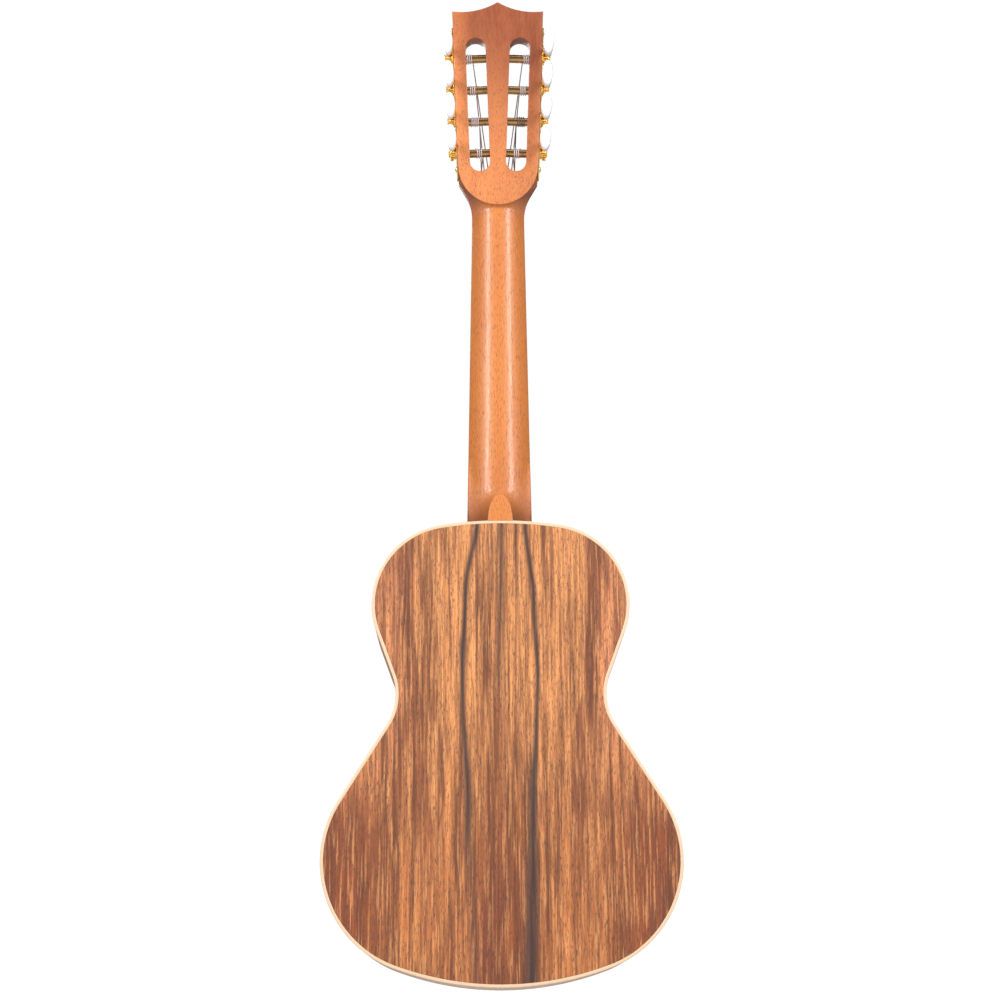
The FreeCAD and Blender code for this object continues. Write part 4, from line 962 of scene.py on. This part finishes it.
@dataclass
class Neck:
    """Neck shaft with its heel and the cove under the head, the slotted head and its veneer."""

    head: HeadFrame = field(default_factory=HeadFrame)
    nut_half: float = 18.8 * MM
    joint_half: float = 22.65 * MM
    depth: float = 15.0 * MM
    hub: float = 4.0 * MM
    flare_radius: float = 32.0 * MM
    flare_angle: float = math.radians(31.0)
    arc_radius: float = 28.7 * MM
    arc_centre: float = 37.0 * MM
    shaft_end: float = 32.0 * MM
    thickness: float = 17.0 * MM
    veneer: float = 1.8 * MM
    tip: float = 155.7 * MM
    crown_radius: float = 51.5 * MM
    cove_radius: float = 7.0 * MM
    cove_slope: float = 0.75
    lip: float = 0.5 * MM
    edge_round: float = 0.45 * MM
    cap_half: float = 8.2 * MM
    cap_length: float = 17.8 * MM
    root_half: float = 21.5 * MM
    root_length: float = 44.0 * MM
    root_level: float = 10.0 * MM
    sweep: float = 10.0 * MM
    slot_width: float = 14.4 * MM
    slot_wall: float = 8.7 * MM
    slot_start: float = -1.0 * MM
    slot_end: float = 96.0 * MM
    ramp_length: float = 12.0 * MM
    ramp_depth: float = 3.6 * MM
    ramp_width: float = 12.0 * MM
    cap_depth: float = 3.0 * MM
    cap_round: float = 0.3 * MM
    cove_ease: float = 2.6 * MM
    heel_ease: float = 3.2 * MM
    ray_count: int = 260
    curve_count: int = 160
    swing_count: int = 120
    points_per_half: int = 44

    def build(self) -> None:
        """Make the shaft, the head's block, the heel's cap and the veneer."""
        body_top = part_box("side_left")[1].z
        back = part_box("back_left")[1].y
        ramps = [self.ramp_tool(side) for side in (1, -1)]
        shaft = carve(self.shaft_mesh(body_top, back), ramps)
        settle("neck_shaft", shaft, NECK_WOOD, BODY, ["neck"])
        ramps = [self.ramp_tool(side) for side in (1, -1)]
        block = carve(slab_mesh("head_block", [self.block_outline()] + self.slot_loops(), self.veneer * 0.9,
                                self.thickness, self.edge_round, self.head.point), ramps)
        settle("head_block", block, HEAD_WOOD, BODY, ["neck"])
        cap = slab_mesh("heel_cap", [self.cap_outline(body_top)], back - self.cap_depth, back, self.cap_round,
                        lambda x, y, z: Vector((x, y, z)))
        settle("heel_cap", cap, NECK_WOOD, BODY, ["neck"])
        dress(["head_veneer"], VENEER_WOOD, bevel_mm=0.2)

    def half_width(self, u: float) -> float:
        """Half the neck's or head's width at a distance u up from the nut, negative below it."""
        if u <= 0:
            joint = -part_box("side_left")[1].z
            return self.nut_half + (self.joint_half - self.nut_half) * -u / joint
        bend = self.flare_radius * math.sin(self.flare_angle)
        if u < bend:
            return self.nut_half + self.flare_radius - math.sqrt(self.flare_radius ** 2 - u ** 2)
        straight = (self.nut_half + self.flare_radius * (1 - math.cos(self.flare_angle))
                    + (u - bend) * math.tan(self.flare_angle))
        return min(straight, self.low_edge(u))

    def low_edge(self, u: float) -> float:
        """Half width of the head's straight sides at a distance from the nut."""
        return self.head.low_half + (u - self.head.low) * math.tan(self.head.lean)

    def cove(self, x: np.ndarray, u: float) -> np.ndarray:
        """Depth of the cove's surface that runs down from the arc edge of the head."""
        away = np.maximum(np.hypot(x, self.arc_centre - u) - self.arc_radius, 0.0)
        near = self.cove_radius * (1 - self.cove_slope / math.hypot(1, self.cove_slope))
        fall = np.sqrt(self.cove_radius ** 2 - (self.cove_radius - np.minimum(away, near)) ** 2)
        return self.thickness - self.lip - fall - self.cove_slope * np.maximum(away - near, 0.0)

    def heel_curve(self, above: float, top: float) -> np.ndarray:
        """The heel's cut at a height above the body, as points from its ridge down its flank."""
        levels = np.linspace(top, 3 * MM, self.curve_count)
        fade = np.exp((self.root_level - levels) / self.sweep)
        half = self.cap_half + (self.root_half - self.cap_half) * fade
        length = self.cap_length + (self.root_length - self.cap_length) * fade
        share = np.clip(max(above, 0.0) / length, 0.0, 1.0)
        width = half * np.sqrt(1 - share ** 2)
        kept = width > 0
        return np.column_stack((width[kept], levels[kept]))

    def rays(self, points: np.ndarray, angles: np.ndarray) -> np.ndarray:
        """Distances from the section's hub to a curve, along rays at the given angles from the back."""
        turn = np.arctan2(points[:, 0], points[:, 1] + self.hub)
        reach = np.hypot(points[:, 0], points[:, 1] + self.hub)
        order = np.argsort(turn)
        return np.interp(angles, turn[order], reach[order], left=reach[order][0], right=0.0)

    def section(self, u: float, body_top: float, top: float) -> np.ndarray:
        """Half of the neck's cut at a distance from the nut, from its front corner round to its ridge.

        Args:
            u: the distance up from the nut, negative below it.
            body_top: the height at which the neck meets the body.
            top: the level of the back.

        Returns:
            Points across and behind the front face.
        """
        half = self.half_width(u)
        spine = self.depth - max(u, 0.0) * math.tan(self.head.tilt)
        radius = (half ** 2 + spine ** 2) / (2 * spine)
        corner = math.atan2(half, self.hub)
        angles = np.linspace(corner * (1 - 1e-6), 0.0, self.ray_count)
        swing = np.linspace(0.0, math.asin(min(half / radius, 1.0)), self.swing_count)
        round_back = np.column_stack((radius * np.sin(swing), spine - radius * (1 - np.cos(swing))))
        reach = self.rays(round_back, angles)
        x = np.linspace(0, half * 1.25, self.curve_count)
        cove = np.column_stack((x, np.maximum(self.cove(x, u), -2 * MM)))
        reach = smooth_max(reach, self.rays(cove, angles), self.cove_ease)
        above = u - body_top
        if above < self.root_length * 1.3:
            curve = self.heel_curve(above, top)
            if len(curve) > 1:
                reach = smooth_max(reach, self.rays(curve, angles), self.heel_ease)
        reach = np.minimum(reach, half / np.maximum(np.sin(angles), 1e-3))
        reach = np.minimum(reach, (top + self.hub) / np.cos(angles))
        points = np.column_stack((reach * np.sin(angles), reach * np.cos(angles) - self.hub))
        points = np.vstack(((half, 0.0), points))
        steps = np.linalg.norm(np.diff(points, axis=0), axis=1)
        run = np.concatenate(((0.0,), np.cumsum(steps)))
        even = np.linspace(0, run[-1], self.points_per_half)
        return np.column_stack((np.interp(even, run, points[:, 0]), np.interp(even, run, points[:, 1])))

    def stations(self, body_top: float) -> List[float]:
        """Distances from the nut at which the neck is cut, closer where its shape changes fast."""
        levels = np.arange(69.0, 11.0, -1.6) * MM
        spine = self.cap_length + (self.root_length - self.cap_length) * np.exp(
            (self.root_level - levels) / self.sweep)
        heel = np.concatenate((np.arange(-2.4, 17.4, 1.3) * MM, spine, np.arange(44.0, 60.0, 3.0) * MM))
        shaft = np.arange(body_top + 62 * MM, -16 * MM, 6 * MM)
        cove = np.arange(-14 * MM, self.shaft_end, 0.7 * MM)
        return list(body_top + heel) + list(shaft) + list(cove) + [self.shaft_end]

    def shaft_mesh(self, body_top: float, back: float) -> bpy.types.Mesh:
        """Skin of the neck from inside the body's top to inside the head."""
        rows = []
        for u in self.stations(body_top):
            half = self.section(u, body_top, back - 0.4 * MM)
            front = self.veneer if u > 5 * MM else 0.0
            half[:, 1] = np.maximum(half[:, 1], front)
            turn = self.head.tilt * min(max((u + 12 * MM) / (12 * MM), 0.0), 1.0)
            base = Vector((0, 0, u)) if u <= 0 else self.head.point(0, 0, u)
            deep = Vector((0, math.cos(turn), -math.sin(turn)))
            right = [base + deep * y + Vector((x, 0, 0)) for x, y in half]
            left = [base + deep * y - Vector((x, 0, 0)) for x, y in half[-2::-1]]
            rows.append(right + left)
        return grid_mesh("neck_shaft", rows, crease=50.0)

    def block_outline(self) -> np.ndarray:
        """The head's full-depth outline: an arc at the neck, straight sides and a pointed crown."""
        drop = self.arc_centre - self.shaft_end
        reach = math.degrees(math.asin(drop / self.arc_radius))
        low = arc((0, self.arc_centre), self.arc_radius, -180 + reach, -reach, 90)
        shoulder = self.low_edge(self.arc_centre)
        crown = self.crown_half()
        mirrored = crown[-2::-1] * (-1, 1)
        right, left = [(shoulder, self.arc_centre)], [(-shoulder, self.arc_centre)]
        return np.vstack((low, right, crown, mirrored, left))

    def crown_half(self) -> np.ndarray:
        """The right half of the crown, from its corner to the tip, hollowed by its radius."""
        corner = np.array((self.head.high_half, self.head.high))
        tip = np.array((0.0, self.tip))
        chord = tip - corner
        span = np.linalg.norm(chord)
        across = np.array((-chord[1], chord[0])) / span
        centre = (corner + tip) / 2 - across * math.sqrt(self.crown_radius ** 2 - span ** 2 / 4)
        start = math.degrees(math.atan2(*(corner - centre)[::-1]))
        end = math.degrees(math.atan2(*(tip - centre)[::-1]))
        return arc(tuple(centre), self.crown_radius, start, end, 14)

    def slot_loops(self) -> List[np.ndarray]:
        """Both slots, each with rounded ends, wound so that the wood lies on their left."""
        middle = -(self.slot_wall + self.slot_width / 2)
        radius = self.slot_width / 2
        ends = np.vstack((arc((middle, self.slot_end - radius), radius, 180, 0, 24),
                          arc((middle, self.slot_start + radius), radius, 0, -180, 24)))
        right = np.array([self.head.edge(out, up) for out, up in ends])
        left = (right * (-1, 1))[::-1]
        return [right, left]

    def ramp_tool(self, side: int) -> bpy.types.Mesh:
        """A wedge that slopes the face into the lower end of one slot."""
        middle = -(self.slot_wall + self.slot_width / 2)
        foot = self.slot_start + self.slot_width / 2
        profile = ((-1 * MM, self.slot_start - self.ramp_length), (0, self.slot_start - self.ramp_length),
                   (self.ramp_depth, self.slot_start), (self.ramp_depth, foot), (-1 * MM, foot))
        rows = [[self.head.deck(side, middle + out, depth, up) for depth, up in profile]
                for out in (-self.ramp_width / 2, self.ramp_width / 2)]
        return grid_mesh("ramp_tool", rows)

    def cap_outline(self, body_top: float) -> np.ndarray:
        """Bullet outline of the heel's cap, which reaches a little under the binding."""
        angles = np.linspace(0, math.pi, 40)
        nose = np.column_stack((self.cap_half * np.cos(angles),
                                body_top + self.cap_length * np.sin(angles)))
        root = [(-self.cap_half, body_top - 1.5 * MM), (self.cap_half, body_top - 1.5 * MM)]
        return np.vstack((nose, root))


# ---------------------------------------------------------------- fretboard and bridge

@dataclass
class Fretting:
    """Fretboard with its frets, markers and nut."""

    scale: float = 432.0 * MM
    joint_fret: int = 14
    nut_half: float = 18.8 * MM
    joint_half: float = 22.65 * MM
    thickness: float = 5.0 * MM
    fret_width: float = 2.2 * MM
    fret_height: float = 0.9 * MM
    fret_count: int = 19

    def build(self) -> None:
        """Dress the board, its markers and the nut, and grow the frets."""
        dress(["fretboard"], DARK_WOOD, bevel_mm=0.15)
        dress(["fret_markers"], PEARL)
        dress(["nut"], BONE, bevel_mm=0.12)
        joint = self.scale * (1 - 2 ** (-self.joint_fret / 12))
        mesh = self.fret_tree().grow(
            FRET_WIRE, Scale=self.scale, Nut_half=self.nut_half, Joint_half=self.joint_half, Joint=joint,
            Width=self.fret_width, Height=self.fret_height, Count=self.fret_count)
        mesh.transform(Matrix.Translation((0, -self.thickness, 0)))
        work = bmesh.new()
        work.from_mesh(mesh)
        settle("fret_wires", soften(work, "fret_wires", 50.0), FRET_WIRE, BODY, ["frets"])

    @staticmethod
    def fret_tree() -> Grower:
        """Fret crowns spaced by the twelve-tone rule, each as long as the board is wide there."""
        grower = Grower("fret_rule", {"Scale": 0.432, "Nut half": 0.0188, "Joint half": 0.0226, "Joint": 0.24,
                                      "Width": 0.0022, "Height": 0.0009, "Count": 19})
        graph, given = grower.graph, grower.given
        points = graph.add("GeometryNodePoints", None, {"Count": given("Count")})
        number = graph.add("GeometryNodeInputIndex") + 1.0
        fall = given("Scale") * (1.0 - 2.0 ** (number * (-1 / 12)))
        half = given("Nut half") + (given("Joint half") - given("Nut half")) * fall / given("Joint")
        spot = graph.add("ShaderNodeCombineXYZ", None, {2: -fall})
        placed = graph.add("GeometryNodeSetPosition", None, {"Geometry": points, "Position": spot})
        line = graph.add("GeometryNodeCurvePrimitiveLine", {"mode": "POINTS"},
                         {"Start": (-1.0, 0.0, 0.0), "End": (1.0, 0.0, 0.0)})
        ring = graph.add("GeometryNodeCurvePrimitiveCircle", {"mode": "RADIUS"},
                         {"Resolution": 20, "Radius": 1.0})
        bar = graph.add("GeometryNodeCurveToMesh", None, {0: line, 1: ring, "Fill Caps": True})
        size = graph.add("ShaderNodeCombineXYZ", None, {
            0: half - 0.2 * MM, 1: given("Height"), 2: given("Width") * 0.5})
        grower.close(graph.add("GeometryNodeInstanceOnPoints", None, {
            "Points": placed, "Instance": bar, "Scale": size}))
        return grower


@dataclass
class Bridge:
    """Tie bridge and saddle."""

    def build(self) -> None:
        """Dress the bridge and the saddle with eased edges."""
        dress(["bridge"], DARK_WOOD, bevel_mm=0.5)
        dress(["saddle"], BONE, bevel_mm=0.4)


# ---------------------------------------------------------------- tuners and strings

@dataclass
class Tuner:
    """One geared tuner: roller, gear, worm and pearl button, with the string wound on its roller."""

    number: int
    head: HeadFrame
    pitch: float = 23.0 * MM
    first: float = 13.4 * MM
    per_side: int = 4
    level: float = 9.5 * MM
    roller_radius: float = 3.0 * MM
    gear_out: float = 4.2 * MM
    worm_up: float = 6.4 * MM
    button_level: float = 27.0 * MM
    button_height: float = 14.0 * MM
    button_half: Tuple[float, float] = (4.0 * MM, 9.2 * MM)
    slot_middle: float = -15.9 * MM
    fan: float = 1.6 * MM
    string_radius: float = 0.42 * MM
    winding_pitch: float = 1.45 * MM
    winding_turns: Tuple[float, ...] = (2.5, 3.5, 3.0, 4.0)
    ferrule: Tuple[Tuple[float, float], ...] = (
        (1.3, -3.0), (2.1, -2.8), (2.3, -2.2), (2.1, -1.7), (1.8, -1.3), (2.4, -0.5), (2.5, 0.1), (1.3, 0.4))

    @property
    def side(self) -> int:
        """+1 on the right and -1 on the left."""
        return 1 if self.number <= self.per_side else -1

    @property
    def place_up(self) -> int:
        """How many tuners lie below this one on its side."""
        return (self.number - 1) % self.per_side

    @property
    def up(self) -> float:
        """The roller's place along the side edge."""
        return self.first + self.place_up * self.pitch

    @property
    def landing(self) -> float:
        """Where the string meets the roller, out from the side edge."""
        return self.slot_middle + (self.place_up - (self.per_side - 1) / 2) * self.fan

    def build(self, winding: Grower) -> None:
        """Make the tuner's pieces.

        Args:
            winding: the tree that winds the string on the roller.
        """
        k = self.number
        dress(["string_roller_%d" % k], ROLLER, "roller_%d" % k)
        dress(["gear_%d" % k], GOLD_GEAR, "roller_%d" % k, 0.08, 28.0)
        dress(["worm_shaft_%d" % k], GOLD, "button_%d" % k)
        settle("pearl_button_%d" % k, self.button_mesh(), PEARL, "button_%d" % k, ["tuner_button_%d" % k])
        settle("button_ferrule_%d" % k, self.ferrule_mesh(), GOLD, "button_%d" % k, [], "gold_plate")
        turns = self.winding_turns[(k + self.place_up) % self.per_side]
        mesh = winding.grow(NYLON, Turns=turns, Radius=self.roller_radius + self.string_radius * 0.9,
                            Pitch=self.winding_pitch, Thickness=self.string_radius)
        middle = self.landing + turns * self.winding_pitch / 2
        mesh.transform(self.head.deck_matrix(self.side, middle, self.level, self.up)
                       @ Matrix.Rotation(math.radians(90), 4, "Y"))
        work = bmesh.new()
        work.from_mesh(mesh)
        finish = WOUND if k == WOUND_TUNER else NYLON
        settle("string_winding_%d" % k, soften(work, "string_winding", 70.0), finish, "roller_%d" % k, [],
               "nylon")

    def button_mesh(self) -> bpy.types.Mesh:
        """Oval button, fullest at its middle, with softly rounded ends and edges."""
        rows = []
        around = np.linspace(0, 2 * math.pi, 48, endpoint=False)
        for share in np.sin(np.linspace(-math.pi / 2, math.pi / 2, 27)) * 0.9985:
            swell = (1 - abs(share) ** 5.0) ** (1 / 3.2)
            depth = self.button_level + self.button_height * (0.5 + share / 2)
            rows.append([self.head.deck(
                self.side, self.gear_out + self.button_half[0] * swell * math.cos(a), depth,
                self.up + self.worm_up + self.button_half[1] * swell * math.sin(a) * (1 - 0.04 * share ** 2))
                for a in around])
        return grid_mesh("pearl_button", rows, crease=60.0)

    def ferrule_mesh(self) -> bpy.types.Mesh:
        """Small stepped collar where the shaft enters the button."""
        rows = []
        for radius, depth in self.ferrule:
            rows.append([self.head.deck(
                self.side, self.gear_out + radius * MM * math.cos(a), self.button_level + depth * MM,
                self.up + self.worm_up + radius * MM * math.sin(a))
                for a in np.linspace(0, 2 * math.pi, 24, endpoint=False)])
        return grid_mesh("button_ferrule", rows, crease=50.0)

    def string_end(self) -> Vector:
        """Where the string meets the front of the roller."""
        return self.head.deck(self.side, self.landing, self.level - self.roller_radius - self.string_radius,
                              self.up)


@dataclass
class Tuners:
    """Both rows of tuners with their plates and screws."""

    head: HeadFrame = field(default_factory=HeadFrame)
    screw_lead: float = 11.4 * MM
    last_screw: float = 100.0 * MM
    screw_radius: float = 2.1 * MM
    screw_height: float = 1.3 * MM
    screw_turn: float = 37.0
    plate: float = 1.0 * MM

    def build(self) -> List[Tuner]:
        """Make plates, screws and all eight tuners.

        Returns:
            The tuners, by number.
        """
        dress(["tuner_plate_left", "tuner_plate_right"], GOLD, bevel_mm=0.12)
        winding = self.winding_tree()
        tuners = [Tuner(number, self.head) for number in range(1, 9)]
        for tuner in tuners:
            tuner.build(winding)
        self.build_screws(tuners)
        return tuners

    def build_screws(self, tuners: Sequence[Tuner]) -> None:
        """Set a slotted, domed screw at each of the ten places."""
        places = [(t.side, t.up - self.screw_lead) for t in tuners]
        places += [(side, self.last_screw) for side in (1, -1)]
        tree = self.screw_tree()
        screws = []
        for index, (side, up) in enumerate(places):
            mesh = tree.grow(GOLD_SCREW, Radius=self.screw_radius, Height=self.screw_height)
            turn = (Matrix.Rotation(math.radians(90), 4, "Y")
                    @ Matrix.Rotation(math.radians(self.screw_turn * index), 4, "Z"))
            mesh.transform(self.head.deck_matrix(side, self.plate, tuners[0].level, up) @ turn)
            screws.append(mesh)
        work = bmesh.new()
        work.from_mesh(joined("screws", screws))
        settle("plate_screw_heads", soften(work, "plate_screw_heads", 40.0), GOLD_SCREW, BODY,
               ["plate_screws"])

    @staticmethod
    def screw_tree() -> Grower:
        """A flattened dome with a slot cut across it."""
        grower = Grower("domed_screw", {"Radius": 2.1 * MM, "Height": 1.3 * MM})
        graph, given = grower.graph, grower.given
        ball = graph.add("GeometryNodeMeshUVSphere", None, {"Segments": 32, "Rings": 16, "Radius": 1.0})
        size = graph.add("ShaderNodeCombineXYZ", None, {
            0: given("Radius"), 1: given("Radius"), 2: given("Height")})
        dome = graph.add("GeometryNodeTransform", None, {"Geometry": ball, "Scale": size})
        cut = graph.add("GeometryNodeMeshCube", None, {"Size": SCREW_SLOT})
        lift = graph.add("ShaderNodeCombineXYZ", None, {2: given("Height")})
        raised = graph.add("GeometryNodeTransform", None, {"Geometry": cut, "Translation": lift})
        slotted = graph.add("GeometryNodeMeshBoolean", {"operation": "DIFFERENCE", "solver": "EXACT"},
                            {0: dome, 1: raised})
        grower.close(slotted)
        return grower

    @staticmethod
    def winding_tree() -> Grower:
        """A string wound as a helix."""
        grower = Grower("string_winding", {"Turns": 3.0, "Radius": 3.4 * MM, "Pitch": 1.2 * MM,
                                           "Thickness": 0.42 * MM})
        graph, given = grower.graph, grower.given
        helix = graph.add("GeometryNodeCurveSpiral", None, {
            "Resolution": 36, "Rotations": given("Turns"), "Start Radius": given("Radius"),
            "End Radius": given("Radius"), "Height": given("Turns") * given("Pitch")})
        shift = graph.add("ShaderNodeCombineXYZ", None, {2: given("Turns") * given("Pitch") * -0.5})
        centred = graph.add("GeometryNodeTransform", None, {"Geometry": helix, "Translation": shift})
        ring = graph.add("GeometryNodeCurvePrimitiveCircle", {"mode": "RADIUS"}, {
            "Resolution": 8, "Radius": given("Thickness")})
        grower.close(graph.add("GeometryNodeCurveToMesh", None, {0: centred, 1: ring, "Fill Caps": True}))
        return grower


@dataclass
class Strings:
    """Eight strings from the bridge over saddle and nut to their rollers."""

    scale: float = 432.0 * MM
    radius: float = 0.4 * MM
    bridge_spacing: float = 6.2 * MM
    nut_spacing: float = 4.3 * MM
    saddle_y: float = -8.6 * MM
    nut_y: float = -7.2 * MM
    tie_y: float = -3.2 * MM
    saddle: float = 2.5 * MM
    bridge_back: float = 16.0 * MM
    bridge_front: float = 8.0 * MM
    nut_flat: float = 4.0 * MM
    count: int = 8

    def tuner_number(self, index: int) -> int:
        """The tuner that a string runs to, counted from the left; outer strings go to the lowest rollers."""
        half = self.count // 2
        return self.count - index if index >= half else half + 1 + index

    def build(self, tuners: Sequence[Tuner]) -> None:
        """Run every string to its tuner, and tie it at the bridge."""
        plain, wound = [], []
        for index in range(self.count):
            number = self.tuner_number(index)
            group = wound if number == WOUND_TUNER else plain
            offset = index - (self.count - 1) / 2
            group.append(self.string_mesh(offset, tuners[number - 1].string_end()))
            group.append(self.tie_mesh(offset * self.bridge_spacing))
        settle("plain_strings", joined("plain_strings", plain), NYLON, BODY, ["strings"])
        settle("wound_string", joined("wound_string", wound), WOUND, BODY, ["strings"], "nylon")

    def string_mesh(self, offset: float, end: Vector) -> bpy.types.Mesh:
        """One string, from its tie over saddle and nut to its roller."""
        x, nut_x = offset * self.bridge_spacing, offset * self.nut_spacing
        points = [Vector((x, self.tie_y, -self.scale - self.bridge_back)),
                  Vector((x, self.tie_y, -self.scale - self.bridge_front)),
                  Vector((x, self.saddle_y, -self.scale - self.saddle)),
                  Vector((x, self.saddle_y, -self.scale)),
                  Vector((nut_x, self.nut_y, 0.0)), Vector((nut_x, self.nut_y, self.nut_flat)), end]
        return tube("string", points, self.radius, 12)

    def tie_mesh(self, x: float) -> bpy.types.Mesh:
        """The loop that ties a string round the back of the bridge."""
        back = -self.scale - self.bridge_back
        top = -7.0 * MM - self.radius
        route = ((self.tie_y, back + 1 * MM), (self.tie_y, back - 0.5 * MM), (-5.5 * MM, back - 0.6 * MM),
                 (top, back + 0.4 * MM), (top, back + 4 * MM), (top, back + 7.4 * MM),
                 (-5.6 * MM, back + 8.6 * MM))
        points = [Vector((x + 0.9 * MM, y, z)) for y, z in route]
        return tube("tie", points, self.radius, 10)


# ---------------------------------------------------------------- studio

@dataclass(frozen=True)
class Lamp:
    """A soft rectangular light: its name, place, size and power in watts."""

    name: str
    spot: Tuple[float, float, float]
    size: Tuple[float, float]
    power: float


LAMPS = (Lamp("key_left", (1.1, 1.2, 0.4), (0.4, 0.9), 27.0),
         Lamp("key_right", (-1.1, 1.2, 0.4), (0.4, 0.9), 27.0),
         Lamp("top_fill", (0.0, 0.9, 1.5), (1.2, 0.8), 5.0),
         Lamp("front_fill", (0.3, -1.5, 0.95), (1.2, 1.2), 16.0))


@dataclass
class Studio:
    """Pale floor, soft lights and the camera."""

    eye: Tuple[float, float, float] = (0.012, 1.4880, -0.5790)
    pitch: float = 13.74
    roll: float = -0.26
    lens: float = 78.8
    sensor: float = 36.0
    shift: Tuple[float, float] = (0.0006, 0.0095)
    floor_drop: float = 0.26
    floor_glow: float = 0.4
    world_light: float = 0.20
    world_seen: float = 0.82
    aim: Tuple[float, float, float] = (0.0, 0.03, -0.22)

    def build(self) -> None:
        """Place floor, world, lights and camera."""
        self.build_floor()
        self.build_world()
        self.build_camera()
        for lamp in LAMPS:
            self.build_light(lamp)

    def build_floor(self) -> None:
        """A wide pale floor below the instrument."""
        low = CAD_BOX[0][2] - self.floor_drop
        bpy.ops.mesh.primitive_plane_add(size=12, location=(0, 0, low))
        floor = bpy.context.object
        floor.name = "floor"
        paint = Finish("floor_paint", (0.5, 0.5, 0.5), 0.85).material()
        shader = next(node for node in paint.node_tree.nodes if node.type == "BSDF_PRINCIPLED")
        shader.inputs["Emission Color"].default_value = (1.0, 1.0, 1.0, 1.0)
        shader.inputs["Emission Strength"].default_value = self.floor_glow
        floor.data.materials.append(paint)

    def build_world(self) -> None:
        """White surroundings that light the piece softly."""
        world = bpy.data.worlds.new("studio")
        bpy.context.scene.world = world
        world.use_nodes = True
        graph = Graph(world.node_tree)
        ground = next(node for node in world.node_tree.nodes if node.type == "BACKGROUND")
        seen = graph.add("ShaderNodeLightPath", output="Is Camera Ray")
        strength = self.world_light + self.world_seen * seen
        ground.inputs["Color"].default_value = (1.0, 1.0, 1.0, 1.0)
        world.node_tree.links.new(strength.socket, ground.inputs["Strength"])

    def build_light(self, lamp: Lamp) -> None:
        """Set up one light so that it faces the instrument."""
        light = bpy.data.lights.new(lamp.name, "AREA")
        light.shape = "RECTANGLE"
        light.size, light.size_y = lamp.size
        light.energy = lamp.power
        item = bpy.data.objects.new(lamp.name, light)
        item.location = lamp.spot
        item.rotation_euler = (Vector(self.aim) - Vector(lamp.spot)).to_track_quat("-Z", "Y").to_euler()
        bpy.context.scene.collection.objects.link(item)

    def build_camera(self) -> None:
        """The camera behind the instrument's back, looking a little up."""
        data = bpy.data.cameras.new("camera")
        data.lens, data.sensor_width = self.lens, self.sensor
        data.shift_x, data.shift_y = self.shift
        camera = bpy.data.objects.new("camera", data)
        camera.location = self.eye
        turn = (Matrix.Rotation(math.pi - math.atan2(self.eye[0], self.eye[1]), 4, "Z")
                @ Matrix.Rotation(math.radians(90 + self.pitch), 4, "X")
                @ Matrix.Rotation(math.radians(self.roll), 4, "Z"))
        camera.rotation_euler = turn.to_euler()
        bpy.context.scene.collection.objects.link(camera)
        bpy.context.scene.camera = camera
        bpy.context.scene.view_settings.view_transform = "Standard"


def main() -> None:
    """Build the instrument sub-assembly by sub-assembly, then the studio."""
    logging.basicConfig(level=logging.INFO, format="%(message)s")
    BodyShell().build()
    Neck().build()
    Fretting().build()
    Bridge().build()
    tuners = Tuners().build()
    Strings().build(tuners)
    Studio().build()


if __name__ == "__main__":
    main()
